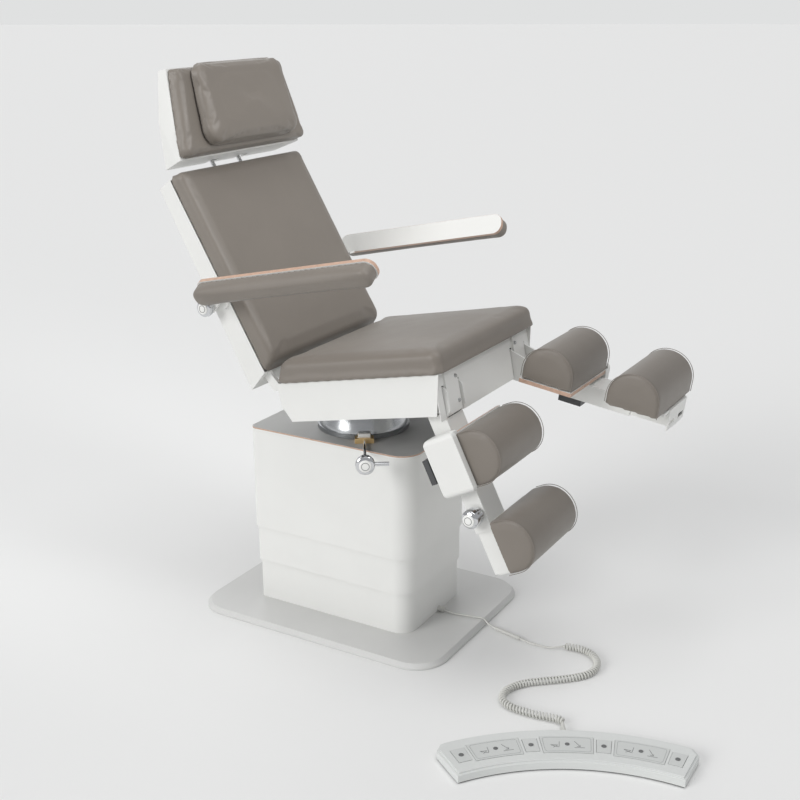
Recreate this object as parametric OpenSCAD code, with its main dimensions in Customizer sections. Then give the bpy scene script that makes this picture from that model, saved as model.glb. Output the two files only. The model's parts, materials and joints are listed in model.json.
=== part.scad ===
// Podiatry chair on a telescopic lifting column, with two separate leg supports,
// swing-up armrests, an adjustable headrest and a foot control on a curly cord.
// Millimetres. +X points to the feet, +Y to the sitter's left, +Z up.
// The origin is the middle of the base plate's underside, on the floor.

/* [Base] */
// Length of the base plate, front to back
base_l = 785; // [760:1:820]
// Width of the base plate
base_w = 596; // [560:1:640]
// Corner radius of the base plate
base_r = 94; // [70:1:120]
// Height of the straight rim of the base plate
base_rim = 6; // [4:0.5:8]
// Bevel around the top of the base plate
base_bevel = 10; // [6:0.5:12]

/* [Column] */
// Length of the upper column cover, front to back
col_l = 522; // [500:1:560]
// Width of the upper column cover
col_w = 349; // [330:1:380]
// Height of the column's top board above the floor
col_top = 549; // [545:1:570]
// Radius of the two front corners of the column
col_front_r = 60; // [40:1:80]
// Radius of the two rear corners of the column
col_rear_r = 22; // [18:1:40]
// Thickness of the three column covers
cover_wall = 2.5; // [2:0.1:3]
// Step from one column cover to the next
cover_step = 6; // [5:0.5:8]
// Thickness of the board on top of the column
board_t = 10; // [8:1:14]

/* [Swivel and brake] */
// Radius of the brake drum under the seat
drum_r = 123.7; // [115:0.1:130]
// Height of the brake drum
drum_h = 12; // [10:0.5:14]
// Radius of the swivel pin
swivel_pin_r = 25; // [20:0.5:30]
// Thickness of the brake band
band_t = 6; // [4:0.5:7]
// Direction of the brake spindle, measured from the front
brake_angle = -57.5; // [-70:0.5:-45]
// Distance from the swivel axis to the brake knob's back
brake_reach = 322; // [300:1:340]
// Radius of the brake knob
brake_knob_r = 25; // [20:0.5:28]

/* [Seat] */
// Tilt of the seat, front up
seat_tilt = 11.6; // [0:0.1:15]
// Height of the seat's tilt pin above the column's top
tilt_pin_up = 91; // [88:1:96]
// Length of the side covers at the top
seat_l = 496; // [480:1:510]
// Outer width across the seat's side covers
seat_w = 543.2; // [540:0.2:560]
// Depth of the side covers
seat_d = 106; // [100:1:112]
// Sheet thickness of the seat's covers
sheet_t = 2; // [1.5:0.1:2.5]
// Width of the seat, back and leg cushions' common outline
cushion_w = 570; // [560:1:580]
// Height of the seat cushion at its sides
seat_pad_t = 63; // [55:1:70]
// Rise of the seat cushion's crown over its sides
seat_crown = 15; // [6:1:16]

/* [Backrest] */
// Lean of the backrest behind the seat's normal
back_lean = 18.9; // [10:0.1:25]
// Length of the backrest cushion
back_l = 588; // [560:1:600]
// Thickness of the backrest cushion at its sides
back_pad_t = 46; // [36:1:50]
// Rise of the backrest cushion's crown
back_crown = 7; // [4:1:12]
// Thickness of the backrest's side at its foot
back_shell_d = 65; // [60:1:70]

/* [Headrest] */
// Forward tilt of the headrest on the backrest
head_lean = 15.8; // [10:0.1:20]
// Height of the headrest
head_l = 241; // [220:1:250]
// Width of the headrest at its foot
head_w = 552; // [530:1:570]
// Width of the headrest at its top
head_top_w = 484; // [460:1:530]
// Thickness of the headrest cushion at its sides
head_pad_t = 36; // [30:1:40]
// Thickness of the headrest's pillow at its foot
pillow_t = 32; // [20:1:38]
// Radius of the headrest's stems
stem_r = 6; // [5:0.5:7]

/* [Armrests] */
// Length of the armrests
arm_l = 554; // [500:1:580]
// Width of an armrest's board
arm_w = 58; // [54:1:66]
// Thickness of an armrest's board
arm_board_t = 11; // [9:0.5:13]
// Thickness of an armrest's pad
arm_pad_t = 41; // [32:1:44]
// Roll of the armrests, board to the inside
arm_roll = 60; // [56:1:62]

/* [Leg supports] */
// Drop of the left leg support below the seat's plane
leg_left_drop = 19.6; // [0:0.1:60]
// Drop of the right leg support below the seat's plane
leg_right_drop = 75.3; // [30:0.1:80]
// Width of a leg support's tube
leg_tube_w = 86; // [80:1:90]
// Thickness of a leg support's tube
leg_tube_t = 50; // [46:1:54]
// Distance from the leg pin to the end of the tube
leg_tube_end = 365; // [355:1:375]
// Length of the upper leg cushion
calf_l = 147; // [130:1:149]
// Length of the lower leg cushion
foot_l = 145; // [130:1:146]
// Height of the leg cushions
leg_pad_h = 103; // [90:1:110]
// Radius of a leg support's knob
leg_knob_r = 24; // [20:0.5:26]

/* [Foot control] */
// Outer radius of the foot control's arc
ctrl_ro = 692; // [680:1:700]
// Inner radius of the foot control's arc
ctrl_ri = 562; // [550:1:575]
// Height of the foot control
ctrl_h = 27; // [24:0.5:30]

/* [Cord] */
// Diameter of the foot control's lead
lead_d = 5.2; // [4.6:0.1:5.4]
// Outer diameter of the curly cord
curly_d = 20; // [18:0.5:20]
// Number of curls in the curly cord
curls = 78; // [50:1:80]

/* [Hidden] */

$fn = 64;
over = 1;            // overrun of every cut
seat_gap = 0.3;      // gap between pieces of two bodies that rest on each other
run_gap = 0.05;      // radial clearance of a pin or shaft in its bore
slide_gap = 0.5;     // clearance on each side of a telescopic tube

// Colours
white = "#E8E9E4";
pale_grey = "#BEBEBD";
board_grey = "#ABABA9";
taupe = "#96928C";
brass = "#E5C68F";
chrome = "#C9CBCD";
steel = "#8E9092";
dark = "#55565A";
cord_grey = "#C0C0BC";

// Base and column
base_top = base_rim + base_bevel;
lower_cover_top = 250;
middle_cover_bottom = 137;
middle_cover_top = 370;
upper_cover_bottom = 244;
board_z = col_top - board_t;
cable_hole_r = 6;
cable_hole_y = 13;
cable_hole_z = 24;

// Lifting tubes
tube_l = 160;        // outside length of the outer lifting tube
tube_w = 120;        // outside width of the outer lifting tube
tube_wall = 6;
tube_h = 295;
tube_x = 10;         // the tubes stand under the swivel axis
tube_step = tube_wall + slide_gap;
middle_tube_z = 130;
middle_tube_top = middle_tube_z + tube_h;
hanger_t = 3;        // sheet of the middle cover's hanger
hanger_l = 70;
hanger_drop = middle_tube_top - middle_cover_top + hanger_t + hanger_t;
screw_r = 12;        // lifting screw
screw_top = 300;
nut_t = 14;
drive_l = 120;       // lifting motor and its gear case
drive_w = 70;
drive_h = 46;
motor_r = 34;
motor_h = 130;
box_w = 190;         // control box
box_h = 92;
box_lip = 4;
box_wall_gap = 13.5; // from the cover's rear wall
box_tube_gap = 1;    // from the plugs to the tube
plug_w = 16;
plug_h = 12;
box_x0 = -col_l/2 + 2*cover_step + cover_wall + box_wall_gap;
box_x1 = tube_x - tube_l/2 - plug_h - box_tube_gap;

// Turntable, brake and tilt yoke
swivel_x = tube_x;
flange_r = 96;
flange_t = 6;
pin_top = col_top + 50;
hub_r = 38;
drum_z = col_top + 1.3;
drum_top = drum_z + drum_h;
cup_top_r = 110;
cup_top = col_top + 55;
cup_wall = 6;
cup_lid = 6;
band_z = col_top + 1;
band_h = 12;
band_r = drum_r + seat_gap;
block_l = 28;
block_w = 52;
block_h = 13.4;
block_top_l = 18;
block_top_w = 34;
block_top_h = 11;
block_r = band_r + band_t + seat_gap;
block_screw_r = 3;
block_screw_share = 1/3;  // place of its screws, of the block's width
spindle_r = 4;
spindle_z = col_top + 7;
spindle_in = 14;     // depth of the spindle in the clamp block
brake_knob_t = 26;
brake_rim = 9;
brake_bar_r = 5.5;
brake_bar_l = 62;
ear_y = 74;          // inner face of the tilt yoke's ears
ear_t = 10;
ear_half = 30;
ear_r = 20;
tilt_pin_r = 10;

// Seat, in its own frame: x along the seat, z square to it
pin_u = 81;          // tilt pin behind the seat's rear edge
pin_w = 106;         // tilt pin below the seat's plane
side_in_y = seat_w / 2 - sheet_t;
front_u = 479.3;     // inner face of the front panel
front_low = 121;
front_slot_low = 117;
flange_w = 24;       // turned-in lower flange of the covers
rail_y = 225;
rail_t = 20;
rail_h = 24;
pan_top = 12;        // the pan's upper face below the seat's plane
pan_t = 6;
pan_u0 = 2;
pan_u1 = 450;
cross_l = 26;
brace_y = 60;
brace_t = 13.7;
brace_half = 30;
hinge_u = -16.5;     // back hinge in the seat's frame
hinge_w = -9.4;
hinge_r = 13.5;
hinge_pin_r = 10;
seat_ear_y = 237;
seat_ear_t = 8;
leg_u = 474;         // leg pin in the seat's frame
leg_w = -58.3;
leg_pin_r = 5;
leg_boss_r = 11;
lug_y = 163;
lug_t = 8;
leg_pin_y0 = 150;
leg_pin_y1 = 240;
slot_y0 = 149.5;
slot_wide = 11.5;
slot_y1 = 229.5;
slot_high = -36;
plate_y = 196;       // middle of a hinge plate
plate_w = 64;
plate_t = 5.5;
plate_top = -4;
plate_low = -113;
plate_screw_r = 4.5;
plate_screw_share = 1/3;  // place of the screws, of the plate's width
plate_screw_t = 2.5;
plate_screw_w1 = -26;
plate_screw_w2 = -90;

// Backrest drive
lever_l = 62;
lever_back = 28;     // rest angle of the lever behind the seat's normal
lever_t = 9;
lever_pin_r = 5;
lever_pin_y = 19;
fork_gap = 1.6;
fork_t = 8;
fork_y = 10;
fork_half = 20;
fork_low = -87;
fork_high = -43;
fork_shift = 1;      // mean offset of the slotted fork from the lever's pin
rod_r = 9;
rod_w = -65;
fork_bridge = 1;     // height of the fork's cross plate above the rod
rod_end = 140;
house_u0 = 54;
house_u1 = 236;
house_bore_end = 216;
house_r = 20;
gear_l = 60;
gear_half = 30;
drive_motor_r = 24;
drive_motor_l = 110;
drive_mount_w = 12;

// Backrest, in its own frame: x forward, z along the back, origin at its hinge
shell_face = 4.5;
shell_w = 560;
shell_foot_front = 43.6;
shell_foot_rear = 18.6;
shell_skew_share = 1.5;  // how far the inner foot corner lies in, of the wall
shell_top_front = 610;
shell_top_rear = 605;
shell_top_x = -40.4;
shell_wall = 3;
arm_plate_y = 246;
arm_plate_t = 12;
back_rail_x0 = -24;
back_rail_x1 = 2;
back_rail_z0 = 60;
back_rail_z1 = 590;
back_pan_t = 4;
torque_r = 12;
guide_half = 13;
guide_z0 = 480;
back_pad_z0 = 36;
back_pad_r = 26;      // corner radius of the cushion in plan
back_pad_edge = 18;  // rounding around its front
back_pad_lean = 22;  // slope of its foot over the seat cushion

// Headrest
stem_x = -12;
stem_y = 60;
stem_z0 = 440;
head_pin_z = 680;
head_pin_r = 9;
head_pin_half = 76;
head_x = 79.4;       // headrest's seam in front of its hinge
head_z = 22.2;       // hinge above the headrest's foot
wedge_foot = 78;     // depth of the headrest's shell at its foot
wedge_top = 27;      // depth of the shell at its top
wedge_drop = 13;
wedge_in = 30;       // the shell narrows towards its rear foot
block_half = 44;
head_block_r = 15;
pocket_y0 = 49;
pocket_y1 = 82;
pocket_z = 46;
pocket_x = 46;
head_pad_r = 24;
head_pad_edge = 15;
head_dish = 4;       // the headrest cushion dips under the pillow
pillow_foot_z = 19;
pillow_top_z = 244;
pillow_foot_w = 404;
pillow_top_w = 326;
pillow_fall = 12;    // the pillow is thinner at its top
pillow_r = 40;
pillow_edge = 36;
pillow_crown = 5;

// Armrests, in their own frame: x forward, z up, origin at the pivot
arm_pivot_x = -49.6; // pivot in the backrest's frame
arm_pivot_z = 266.5;
arm_mount_x = -14;   // where the pivot's carrier is bolted to the back's rail
arm_mount_z = 256;
arm_mount_r = 14;
arm_carrier_t = 8;
arm_drop = 18.4;     // the armrests lie nearly parallel to the seat
arm_x0 = 18;
arm_mid_y = 345.25;
arm_mid_z = 50.5;
arm_plan_r = 26;
arm_pad_in = 4;
arm_pad_edge = 9;
arm_bracket_y = 296;
arm_bracket_t = 7;
arm_boss_r = 20;
arm_boss_share = 0.86;
arm_stud_r = 8;
arm_thread_r = 5;
arm_collar_r = 16;
arm_bracket_front = 74;
arm_bracket_rear = -22;
arm_bracket_top = 33;
arm_shelf_in = 1.5;   // the shelf ends this far inside the board's lower edge
arm_shelf_t = 5;
arm_knob_r = 22.5;
arm_knob_t = 24;
arm_thread_y = 318;

// Leg supports, in their own frame: x along the leg, z to its front face
cheek_t = 6;
tube_y0 = 152;
tube_start = 62;
tube_face = -12;
tube_wall_l = 3;
cheek_r = 19;
cheek_brow_u = 46;
cheek_brow_n = 8;
cheek_heel_u = 6;
saddle_u0 = 112;
saddle_u1 = 236;
saddle_in = 8;
board_face = 8;
leg_board_t = 11;
calf_u0 = 100;
foot_u0 = 335;
pad_y0 = 5;
calf_y1 = 265;
foot_y1 = 280;
pad_gap = 0.3;
cover_u0 = 93;
cover_u1 = 250;
cover_n0 = -78;
cover_n1 = 14;
cover_y0 = 245.7;
cover_y1 = 285;
cover_r = 14;
cover_boss_r = 16;
cover_boss_n = -37;
cover_boss_u = 130;
cover_boss_2 = 215;
slider_wall_gap = 0.5;
slider_wall = 3;
slider_u0 = 205;
carrier_u0 = 340;
carrier_y0 = 60;
carrier_y1 = 236;
carrier_t = 7;
carrier_block_u = 366;
hook_plate_t = 4;
hook_y0 = 100;
hook_y1 = 232;
hook_n0 = -50;
hook_slot_w = 40;
hook_slot_h = 12;
hook_slot_n = -38;
knob_u = 316;
knob_n = -37;
knob_y = 244;
knob_t = 42;
knob_stud_r = 6;
lever_u = 172;
lever_pivot_n = -72;
lever_pivot_r = 4;
lever_ear_t = 5;
lever_ear_r = 9;
lever_shank_y0 = 224;
lever_shank_t = 12;
slab_u0 = 140;
slab_u1 = 206;
slab_n0 = -104;
slab_t = 16;
slab_y0 = 214;
slab_y1 = 276;

// Foot control
ctrl_x = 1135;
ctrl_y = -989;
ctrl_a0 = 91;
ctrl_a1 = 145.5;
ctrl_mid = 118.1;
ctrl_lip = 5;        // bevelled upper part of the housing
ctrl_wall = 3;
ctrl_tray_t = 3;
ctrl_chamfer = 22;
ctrl_key_r = 626;
ctrl_key_step = 7.87;
rocker_w = 66;
rocker_deg = 11.2;
rocker_t = 5;
rocker_proud = 0.8;
key_deg = 3.1;
key_w = 52;
key_gap = 0.6;
key_travel = 2;
dot_r = 5;
dot_t = 0.6;
pocket_floor = 2;

// Cord
lead_r = lead_d / 2;
curl_arm = curly_d / 2 - lead_r;
fitting_r = 9;
fitting_l = 22;
sleeve_r = 4.6;
sleeve_l = 86;
sleeve_gap = 0.6;    // round the wire in the sleeve
relief_r0 = 4.4;
relief_r1 = 8;
relief_z = 12;

// Seat cushion
seat_pad_u0 = -8;
seat_pad_u1 = 515;
seat_pad_lean = 18;  // slope of the cushion's rear face
seat_pad_r = 34;     // corner radius of the cushion in plan
seat_pad_edge = 26;  // rounding around its top
arc_n = 5;           // steps around each corner of a cushion

// SHAPES

module rounded_outline(l, w, rf, rr) {
    polygon([
        [-l/2 + rr, -w/2], [l/2 - rf, -w/2], [l/2, -w/2 + rf], [l/2, w/2 - rf],
        [l/2 - rf, w/2], [-l/2 + rr, w/2], [-l/2, w/2 - rr], [-l/2, -w/2 + rr]
    ]);
    for (s = [-1, 1]) {
        translate([l/2 - rf, s * (w/2 - rf)]) circle(r = rf);
        translate([-l/2 + rr, s * (w/2 - rr)]) circle(r = rr);
    }
}

module column_outline(inset) {
    rounded_outline(col_l - 2*inset, col_w - 2*inset, col_front_r - inset, col_rear_r - inset);
}

module column_shell(inset, z0, z1) {
    translate([0, 0, z0]) linear_extrude(z1 - z0) difference() {
        column_outline(inset);
        column_outline(inset + cover_wall);
    }
}

module box(x0, x1, y0, y1, z0, z1) {
    translate([x0, y0, z0]) cube([x1 - x0, y1 - y0, z1 - z0]);
}

// A bar along y whose profile lies in the x-z plane
module across(y0, y1) {
    translate([0, y1, 0]) rotate([90, 0, 0]) linear_extrude(y1 - y0) children();
}

module cyl_y(r, y0, y1) {
    translate([0, y1, 0]) rotate([90, 0, 0]) cylinder(r = r, h = y1 - y0);
}

module cyl_x(r, x0, x1) {
    translate([x0, 0, 0]) rotate([0, 90, 0]) cylinder(r = r, h = x1 - x0);
}

module both_sides() {
    children();
    mirror([0, 1, 0]) children();
}

// side is 1 for the sitter's left and -1 for the right
module on_side(side) {
    if (side > 0) children();
    else mirror([0, 1, 0]) children();
}

// A turning knob with a domed face, its back at z = 0
knob_dome_share = 0.2;       // of a knob's height
knob_rim_share = 0.17;       // of a knob's radius
knob_steps = 6;               // steps over its dome

module knob(r, t, bore_r, bore_t) {
    dome = t * knob_dome_share;
    rim = r * knob_rim_share;
    rotate_extrude() polygon(concat(
        [[bore_r, 0], [r - rim, 0], [r, rim], [r, t - dome - rim]],
        [for (k = [0:knob_steps]) let (a = 90 * k / knob_steps)
            [(r - rim) * cos(a) + rim * (1 - k / knob_steps), t - dome + dome * sin(a)]],
        [[0, t], [0, bore_t], [bore_r, bore_t]]
    ));
}

// CUSHION FORMS

// One outline ring of a cushion. y0 and y1 are half widths at x0 and x1, z0 and z1 the heights there.
function pad_ring(x0, x1, y0, y1, r, z0, z1) = [
    for (c = [0:3], k = [0:arc_n])
        let (
            a = 90 * (c + k / arc_n),
            front = c == 0 || c == 3,
            x = (front ? x1 - r : x0 + r) + r * cos(a),
            y = (c < 2 ? 1 : -1) * (front ? y1 - r : y0 - r) + r * sin(a)
        )
        [x, y, z0 + (z1 - z0) * (x - x0) / (x1 - x0)]
];

ring_n = 4 * (arc_n + 1);

// A closed skin over rings of ring_n points, closed by a point at each end
module skin(rings) {
    n = len(rings);
    foot = [for (i = [0:2]) [for (p = rings[0]) p[i]] * [for (p = rings[0]) 1] / ring_n];
    peak = [for (i = [0:2]) [for (p = rings[n-1]) p[i]] * [for (p = rings[n-1]) 1] / ring_n];
    points = concat([for (ring = rings) for (p = ring) p], [foot, peak]);
    faces = concat(
        [for (j = [0:n-2], i = [0:ring_n-1]) let (k = (i + 1) % ring_n)
            [j*ring_n + i, (j+1)*ring_n + i, j*ring_n + k]],
        [for (j = [0:n-2], i = [0:ring_n-1]) let (k = (i + 1) % ring_n)
            [j*ring_n + k, (j+1)*ring_n + i, (j+1)*ring_n + k]],
        [for (i = [0:ring_n-1]) [i, (i + 1) % ring_n, n*ring_n]],
        [for (i = [0:ring_n-1]) [(n-1)*ring_n + (i + 1) % ring_n, (n-1)*ring_n + i, n*ring_n + 1]]
    );
    polyhedron(points = points, faces = faces, convexity = 4);
}

// Shares of the edge radius and of the side height, from the seam up over the rounded edge
edge_shares = [[0.12, 0], [0, 0.1], [0.08, 0.36], [0.05, 0.62], [0.22, 0.84], [0.62, 0.97], [1.25, 1.02]];
// Shares of the half width drawn in, and of the crown's rise
crown_shares = [[0.2, 0.32], [0.42, 0.7], [0.68, 0.93], [0.9, 1]];

// A cushion on the x-y plane: h high at its sides, with a crown on top
module pad(x0, x1, w0, w1, r, edge, h0, h1, crown, lean) {
    half = w0 / 2;
    rings = concat(
        [for (s = edge_shares) let (i = edge * s[0])
            pad_ring(x0 + i + lean * s[1], x1 - i, w0/2 - i, w1/2 - i, max(r - i, r / 3), h0 * s[1], h1 * s[1])],
        [for (s = crown_shares) let (
                i = edge + (half - edge) * s[0],
                k = (x1 - x0 - lean) / w0,
                c = crown * s[1])
            pad_ring(x0 + i * k + lean, x1 - i * k, w0/2 - i, w1/2 - i * w1 / w0,
                (half - i) / 3, h0 + c, h1 + c)]
    );
    skin(rings);
}

// FRAMES

module on_swivel() {
    translate([swivel_x, 0, 0]) children();
}

module in_seat() {
    translate([swivel_x, 0, col_top + tilt_pin_up]) rotate([0, -seat_tilt, 0])
        translate([-pin_u, 0, pin_w]) children();
}

module in_back() {
    in_seat() translate([hinge_u, 0, hinge_w]) rotate([0, -back_lean, 0]) children();
}

module in_head() {
    in_back() translate([stem_x, 0, head_pin_z]) rotate([0, head_lean, 0])
        translate([head_x, 0, -head_z]) children();
}

module in_arm(side) {
    in_back() on_side(side) translate([arm_pivot_x, 0, arm_pivot_z]) rotate([0, arm_drop, 0]) children();
}

module in_leg(side) {
    in_seat() on_side(side) translate([leg_u, 0, leg_w])
        rotate([0, side > 0 ? leg_left_drop : leg_right_drop, 0]) children();
}

module at_brake() {
    on_swivel() rotate([0, 0, brake_angle]) children();
}

module in_control() {
    translate([ctrl_x, ctrl_y, 0]) children();
}

// BASE AND COLUMN

module base_plate() {
    color(pale_grey) union() {
        for (sx = [-1, 1], sy = [-1, 1])
            translate([sx * (base_l/2 - base_r), sy * (base_w/2 - base_r), 0]) {
                cylinder(r = base_r, h = base_rim, $fn = 96);
                translate([0, 0, base_rim])
                    cylinder(r1 = base_r, r2 = base_r - base_bevel, h = base_bevel, $fn = 96);
            }
        across(-base_w/2 + base_r, base_w/2 - base_r) rim_profile(base_l);
        rotate([0, 0, 90]) across(-base_l/2 + base_r, base_l/2 - base_r) rim_profile(base_w);
    }
}

module rim_profile(l) {
    polygon([
        [-l/2, 0], [l/2, 0], [l/2, base_rim], [l/2 - base_bevel, base_top],
        [-l/2 + base_bevel, base_top], [-l/2, base_rim]
    ]);
}

module lower_cover() {
    color(white) difference() {
        column_shell(2*cover_step, base_top, lower_cover_top);
        translate([0, cable_hole_y, cable_hole_z]) cyl_x(cable_hole_r, 0, col_l);
    }
}

module middle_cover() {
    color(white) column_shell(cover_step, middle_cover_bottom, middle_cover_top);
}

module upper_cover() {
    color(white) column_shell(0, upper_cover_bottom, board_z);
}

module lift_tube(step, z0, h) {
    l = tube_l - 2 * step * tube_step;
    w = tube_w - 2 * step * tube_step;
    translate([tube_x, 0, z0]) linear_extrude(h) difference() {
        square([l, w], center = true);
        square([l - 2*tube_wall, w - 2*tube_wall], center = true);
    }
}

module lift_tube_outer() {
    color(steel) lift_tube(0, base_top, tube_h);
}

module lift_tube_middle() {
    wall_y = col_w/2 - cover_step - cover_wall;
    tube_half = tube_w/2 - tube_step;
    color(steel) {
        lift_tube(1, middle_tube_z, tube_h);
        both_sides() {
            box(tube_x - hanger_l/2, tube_x + hanger_l/2, tube_half - hanger_t, wall_y,
                middle_tube_top - hanger_t, middle_tube_top);
            box(tube_x - hanger_l/2, tube_x + hanger_l/2, wall_y - hanger_t, wall_y,
                middle_tube_top - hanger_drop, middle_tube_top);
        }
    }
}

module lift_tube_inner() {
    l = tube_l - 4 * tube_step - 2 * tube_wall;
    w = tube_w - 4 * tube_step - 2 * tube_wall;
    z0 = board_z - tube_h;
    color(steel) {
        lift_tube(2, z0, tube_h);
        difference() {
            translate([tube_x, 0, z0]) linear_extrude(nut_t) square([l, w], center = true);
            translate([tube_x, 0, z0 - over]) cylinder(r = screw_r + run_gap, h = nut_t + 2*over);
        }
    }
}

module lift_drive() {
    y0 = tube_w / 2;
    color(dark) {
        translate([tube_x, 0, base_top]) cylinder(r = screw_r, h = screw_top - base_top);
        box(tube_x - drive_l/2, tube_x + drive_l/2, y0, y0 + drive_w, base_top, base_top + drive_h);
        translate([tube_x + drive_l/2 - motor_r, y0 + drive_w - motor_r, base_top + drive_h])
            cylinder(r = motor_r, h = motor_h);
    }
}

module control_box() {
    color(dark) translate([0, 0, base_top]) {
        box(box_x0, box_x1, -box_w/2, box_w/2, 0, box_h);
        box(box_x0 + box_lip, box_x1 - box_lip, -box_w/2 + box_lip, box_w/2 - box_lip, box_h, box_h + box_lip);
        for (k = [-1, 0, 1])
            box(box_x1, box_x1 + plug_h, 2*k*plug_w - plug_w/2, 2*k*plug_w + plug_w/2, plug_h, 2*plug_h);
    }
}

module top_board() {
    color(board_grey) translate([0, 0, board_z]) linear_extrude(board_t) column_outline(0);
}

// TURNTABLE AND BRAKE

module turntable_base() {
    color(steel) on_swivel() translate([0, 0, col_top]) {
        cylinder(r = flange_r, h = flange_t);
        cylinder(r = swivel_pin_r, h = pin_top - col_top);
    }
}

module turret() {
    hub_z = col_top + flange_t + seat_gap;
    color(chrome) difference() {
        on_swivel() union() {
            rotate_extrude($fn = 96) polygon([
                [drum_r - cup_wall, drum_z], [drum_r, drum_z], [drum_r, drum_top],
                [cup_top_r, cup_top], [0, cup_top], [0, cup_top - cup_lid],
                [cup_top_r - cup_wall, cup_top - cup_lid], [drum_r - cup_wall, drum_top]
            ]);
            translate([0, 0, hub_z]) cylinder(r = hub_r, h = cup_top - hub_z);
            both_sides() tilt_ear();
        }
        on_swivel() translate([0, 0, drum_z]) cylinder(r = swivel_pin_r + run_gap, h = pin_top + seat_gap - drum_z);
    }
}

module tilt_ear() {
    z = col_top + tilt_pin_up;
    difference() {
        across(ear_y, ear_y + ear_t) union() {
            translate([-ear_half, cup_top - over]) square([2*ear_half, z - cup_top]);
            translate([0, z]) circle(r = ear_r);
        }
        translate([0, 0, z]) cyl_y(tilt_pin_r + run_gap, 0, ear_y + ear_t + over);
    }
}

module clamp_band() {
    ring_r = band_r + band_t;
    color(chrome) at_brake() translate([0, 0, band_z]) difference() {
        cylinder(r = ring_r, h = band_h, $fn = 96);
        translate([0, 0, -over]) cylinder(r = band_r, h = band_h + 2*over, $fn = 96);
        box(0, 2*ring_r, -block_screw_r, block_screw_r, -over, band_h + over);
    }
}

module clamp_block() {
    at_brake() translate([block_r, 0, col_top]) {
        color(brass) difference() {
            box(0, block_l, -block_w/2, block_w/2, 0, block_h);
            translate([0, 0, spindle_z - col_top]) cyl_x(spindle_r + run_gap, block_l - spindle_in, block_l + over);
            for (s = [-1, 1])
                translate([block_l/2, s * block_w * block_screw_share, block_h - block_screw_r])
                    cylinder(r = block_screw_r, h = block_screw_r + over);
        }
        color(white) box(0, block_top_l, -block_top_w/2, block_top_w/2, block_h, block_h + block_top_h);
    }
}

module brake_spindle() {
    color(chrome) at_brake() translate([0, 0, spindle_z]) {
        cyl_x(spindle_r, block_r + block_l - spindle_in + seat_gap, brake_reach + over);
        translate([brake_reach, 0, 0]) rotate([0, 90, 0]) knob(brake_knob_r, brake_knob_t, 0, 0);
        translate([brake_reach + brake_rim, 0, 0]) cyl_y(brake_bar_r, 0, brake_bar_l);
    }
}

// SEAT

module seat_frame() {
    color(dark) in_seat() {
        box(pan_u0, pan_u1, -rail_y - rail_t, rail_y + rail_t, -pan_top - pan_t, -pan_top);
        both_sides() {
            box(pan_u0, pan_u1, rail_y, rail_y + rail_t, -pan_top - pan_t - rail_h, -pan_top);
            back_ear();
            tilt_brace();
            for (y = [lug_y, 2*plate_y - lug_y - lug_t]) leg_lug(y);
            translate([leg_u, 0, leg_w]) cyl_y(leg_pin_r, leg_pin_y0, leg_pin_y1);
        }
        box(pan_u1 - cross_l, pan_u1, -rail_y, rail_y, -pan_top - pan_t - rail_h, -pan_top);
    }
}

module back_ear() {
    difference() {
        across(seat_ear_y, seat_ear_y + seat_ear_t) union() {
            translate([hinge_u, hinge_w]) circle(r = hinge_r);
            polygon([
                [hinge_u, hinge_w + hinge_r], [pan_u0 + rail_t, -pan_top],
                [pan_u0 + rail_t, -pan_top - pan_t - rail_h], [hinge_u, hinge_w - hinge_r]
            ]);
        }
        translate([hinge_u, 0, hinge_w]) cyl_y(hinge_pin_r + run_gap, rail_y, arm_plate_y);
    }
}

module tilt_brace() {
    across(brace_y, brace_y + brace_t) union() {
        translate([pin_u, -pin_w]) circle(r = ear_r);
        polygon([
            [pin_u - brace_half, -pan_top - pan_t], [pin_u - ear_r, -pin_w],
            [pin_u + ear_r, -pin_w], [pin_u + brace_half, -pan_top - pan_t]
        ]);
    }
    translate([pin_u, 0, -pin_w]) cyl_y(tilt_pin_r, brace_y, ear_y + ear_t);
}

module leg_lug(y) {
    low = -pan_top - pan_t - rail_h;
    across(y, y + lug_t) intersection() {
        union() {
            translate([leg_u, leg_w]) circle(r = leg_boss_r);
            polygon([
                [pan_u1 - cross_l, low], [leg_u - leg_boss_r, leg_w], [leg_u, leg_w - leg_boss_r],
                [front_u - seat_gap, leg_w], [front_u - seat_gap, leg_w + leg_boss_r],
                [pan_u1, -pan_top], [pan_u1 - cross_l, -pan_top]
            ]);
        }
        translate([0, leg_w - 2*leg_boss_r]) square([front_u - seat_gap, -leg_w + 2*leg_boss_r]);
    }
}

// Outline of the side covers, as shares of their length and depth
side_shares = [[0, 0], [0.006, -0.61], [0.053, -1], [0.952, -1], [1, 0]];

module side_profile() {
    polygon([for (s = side_shares) [s[0] * seat_l, s[1] * seat_d]]);
}

module seat_covers() {
    color(white) in_seat() {
        both_sides() {
            across(side_in_y, side_in_y + sheet_t) side_profile();
            box(side_shares[2][0] * seat_l, side_shares[3][0] * seat_l, side_in_y - flange_w, side_in_y,
                -seat_d, -seat_d + sheet_t);
        }
        difference() {
            box(front_u, front_u + sheet_t, -side_in_y, side_in_y, -front_low, 0);
            both_sides() {
                for (y = [slot_y0, slot_y1])
                    box(front_u - over, front_u + sheet_t + over, y, y + slot_wide, -front_low - over, slot_high);
                box(front_u - over, front_u + sheet_t + over, slot_y0, slot_y1, -front_low - over, -front_slot_low);
            }
        }
        box(front_u - flange_w, front_u, -slot_y0 + sheet_t, slot_y0 - sheet_t, -front_low, -front_low + sheet_t);
    }
}

module seat_cushion() {
    color(taupe) in_seat()
        pad(seat_pad_u0, seat_pad_u1, cushion_w, cushion_w, seat_pad_r, seat_pad_edge,
            seat_pad_t, seat_pad_t, seat_crown, seat_pad_lean);
}

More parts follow.
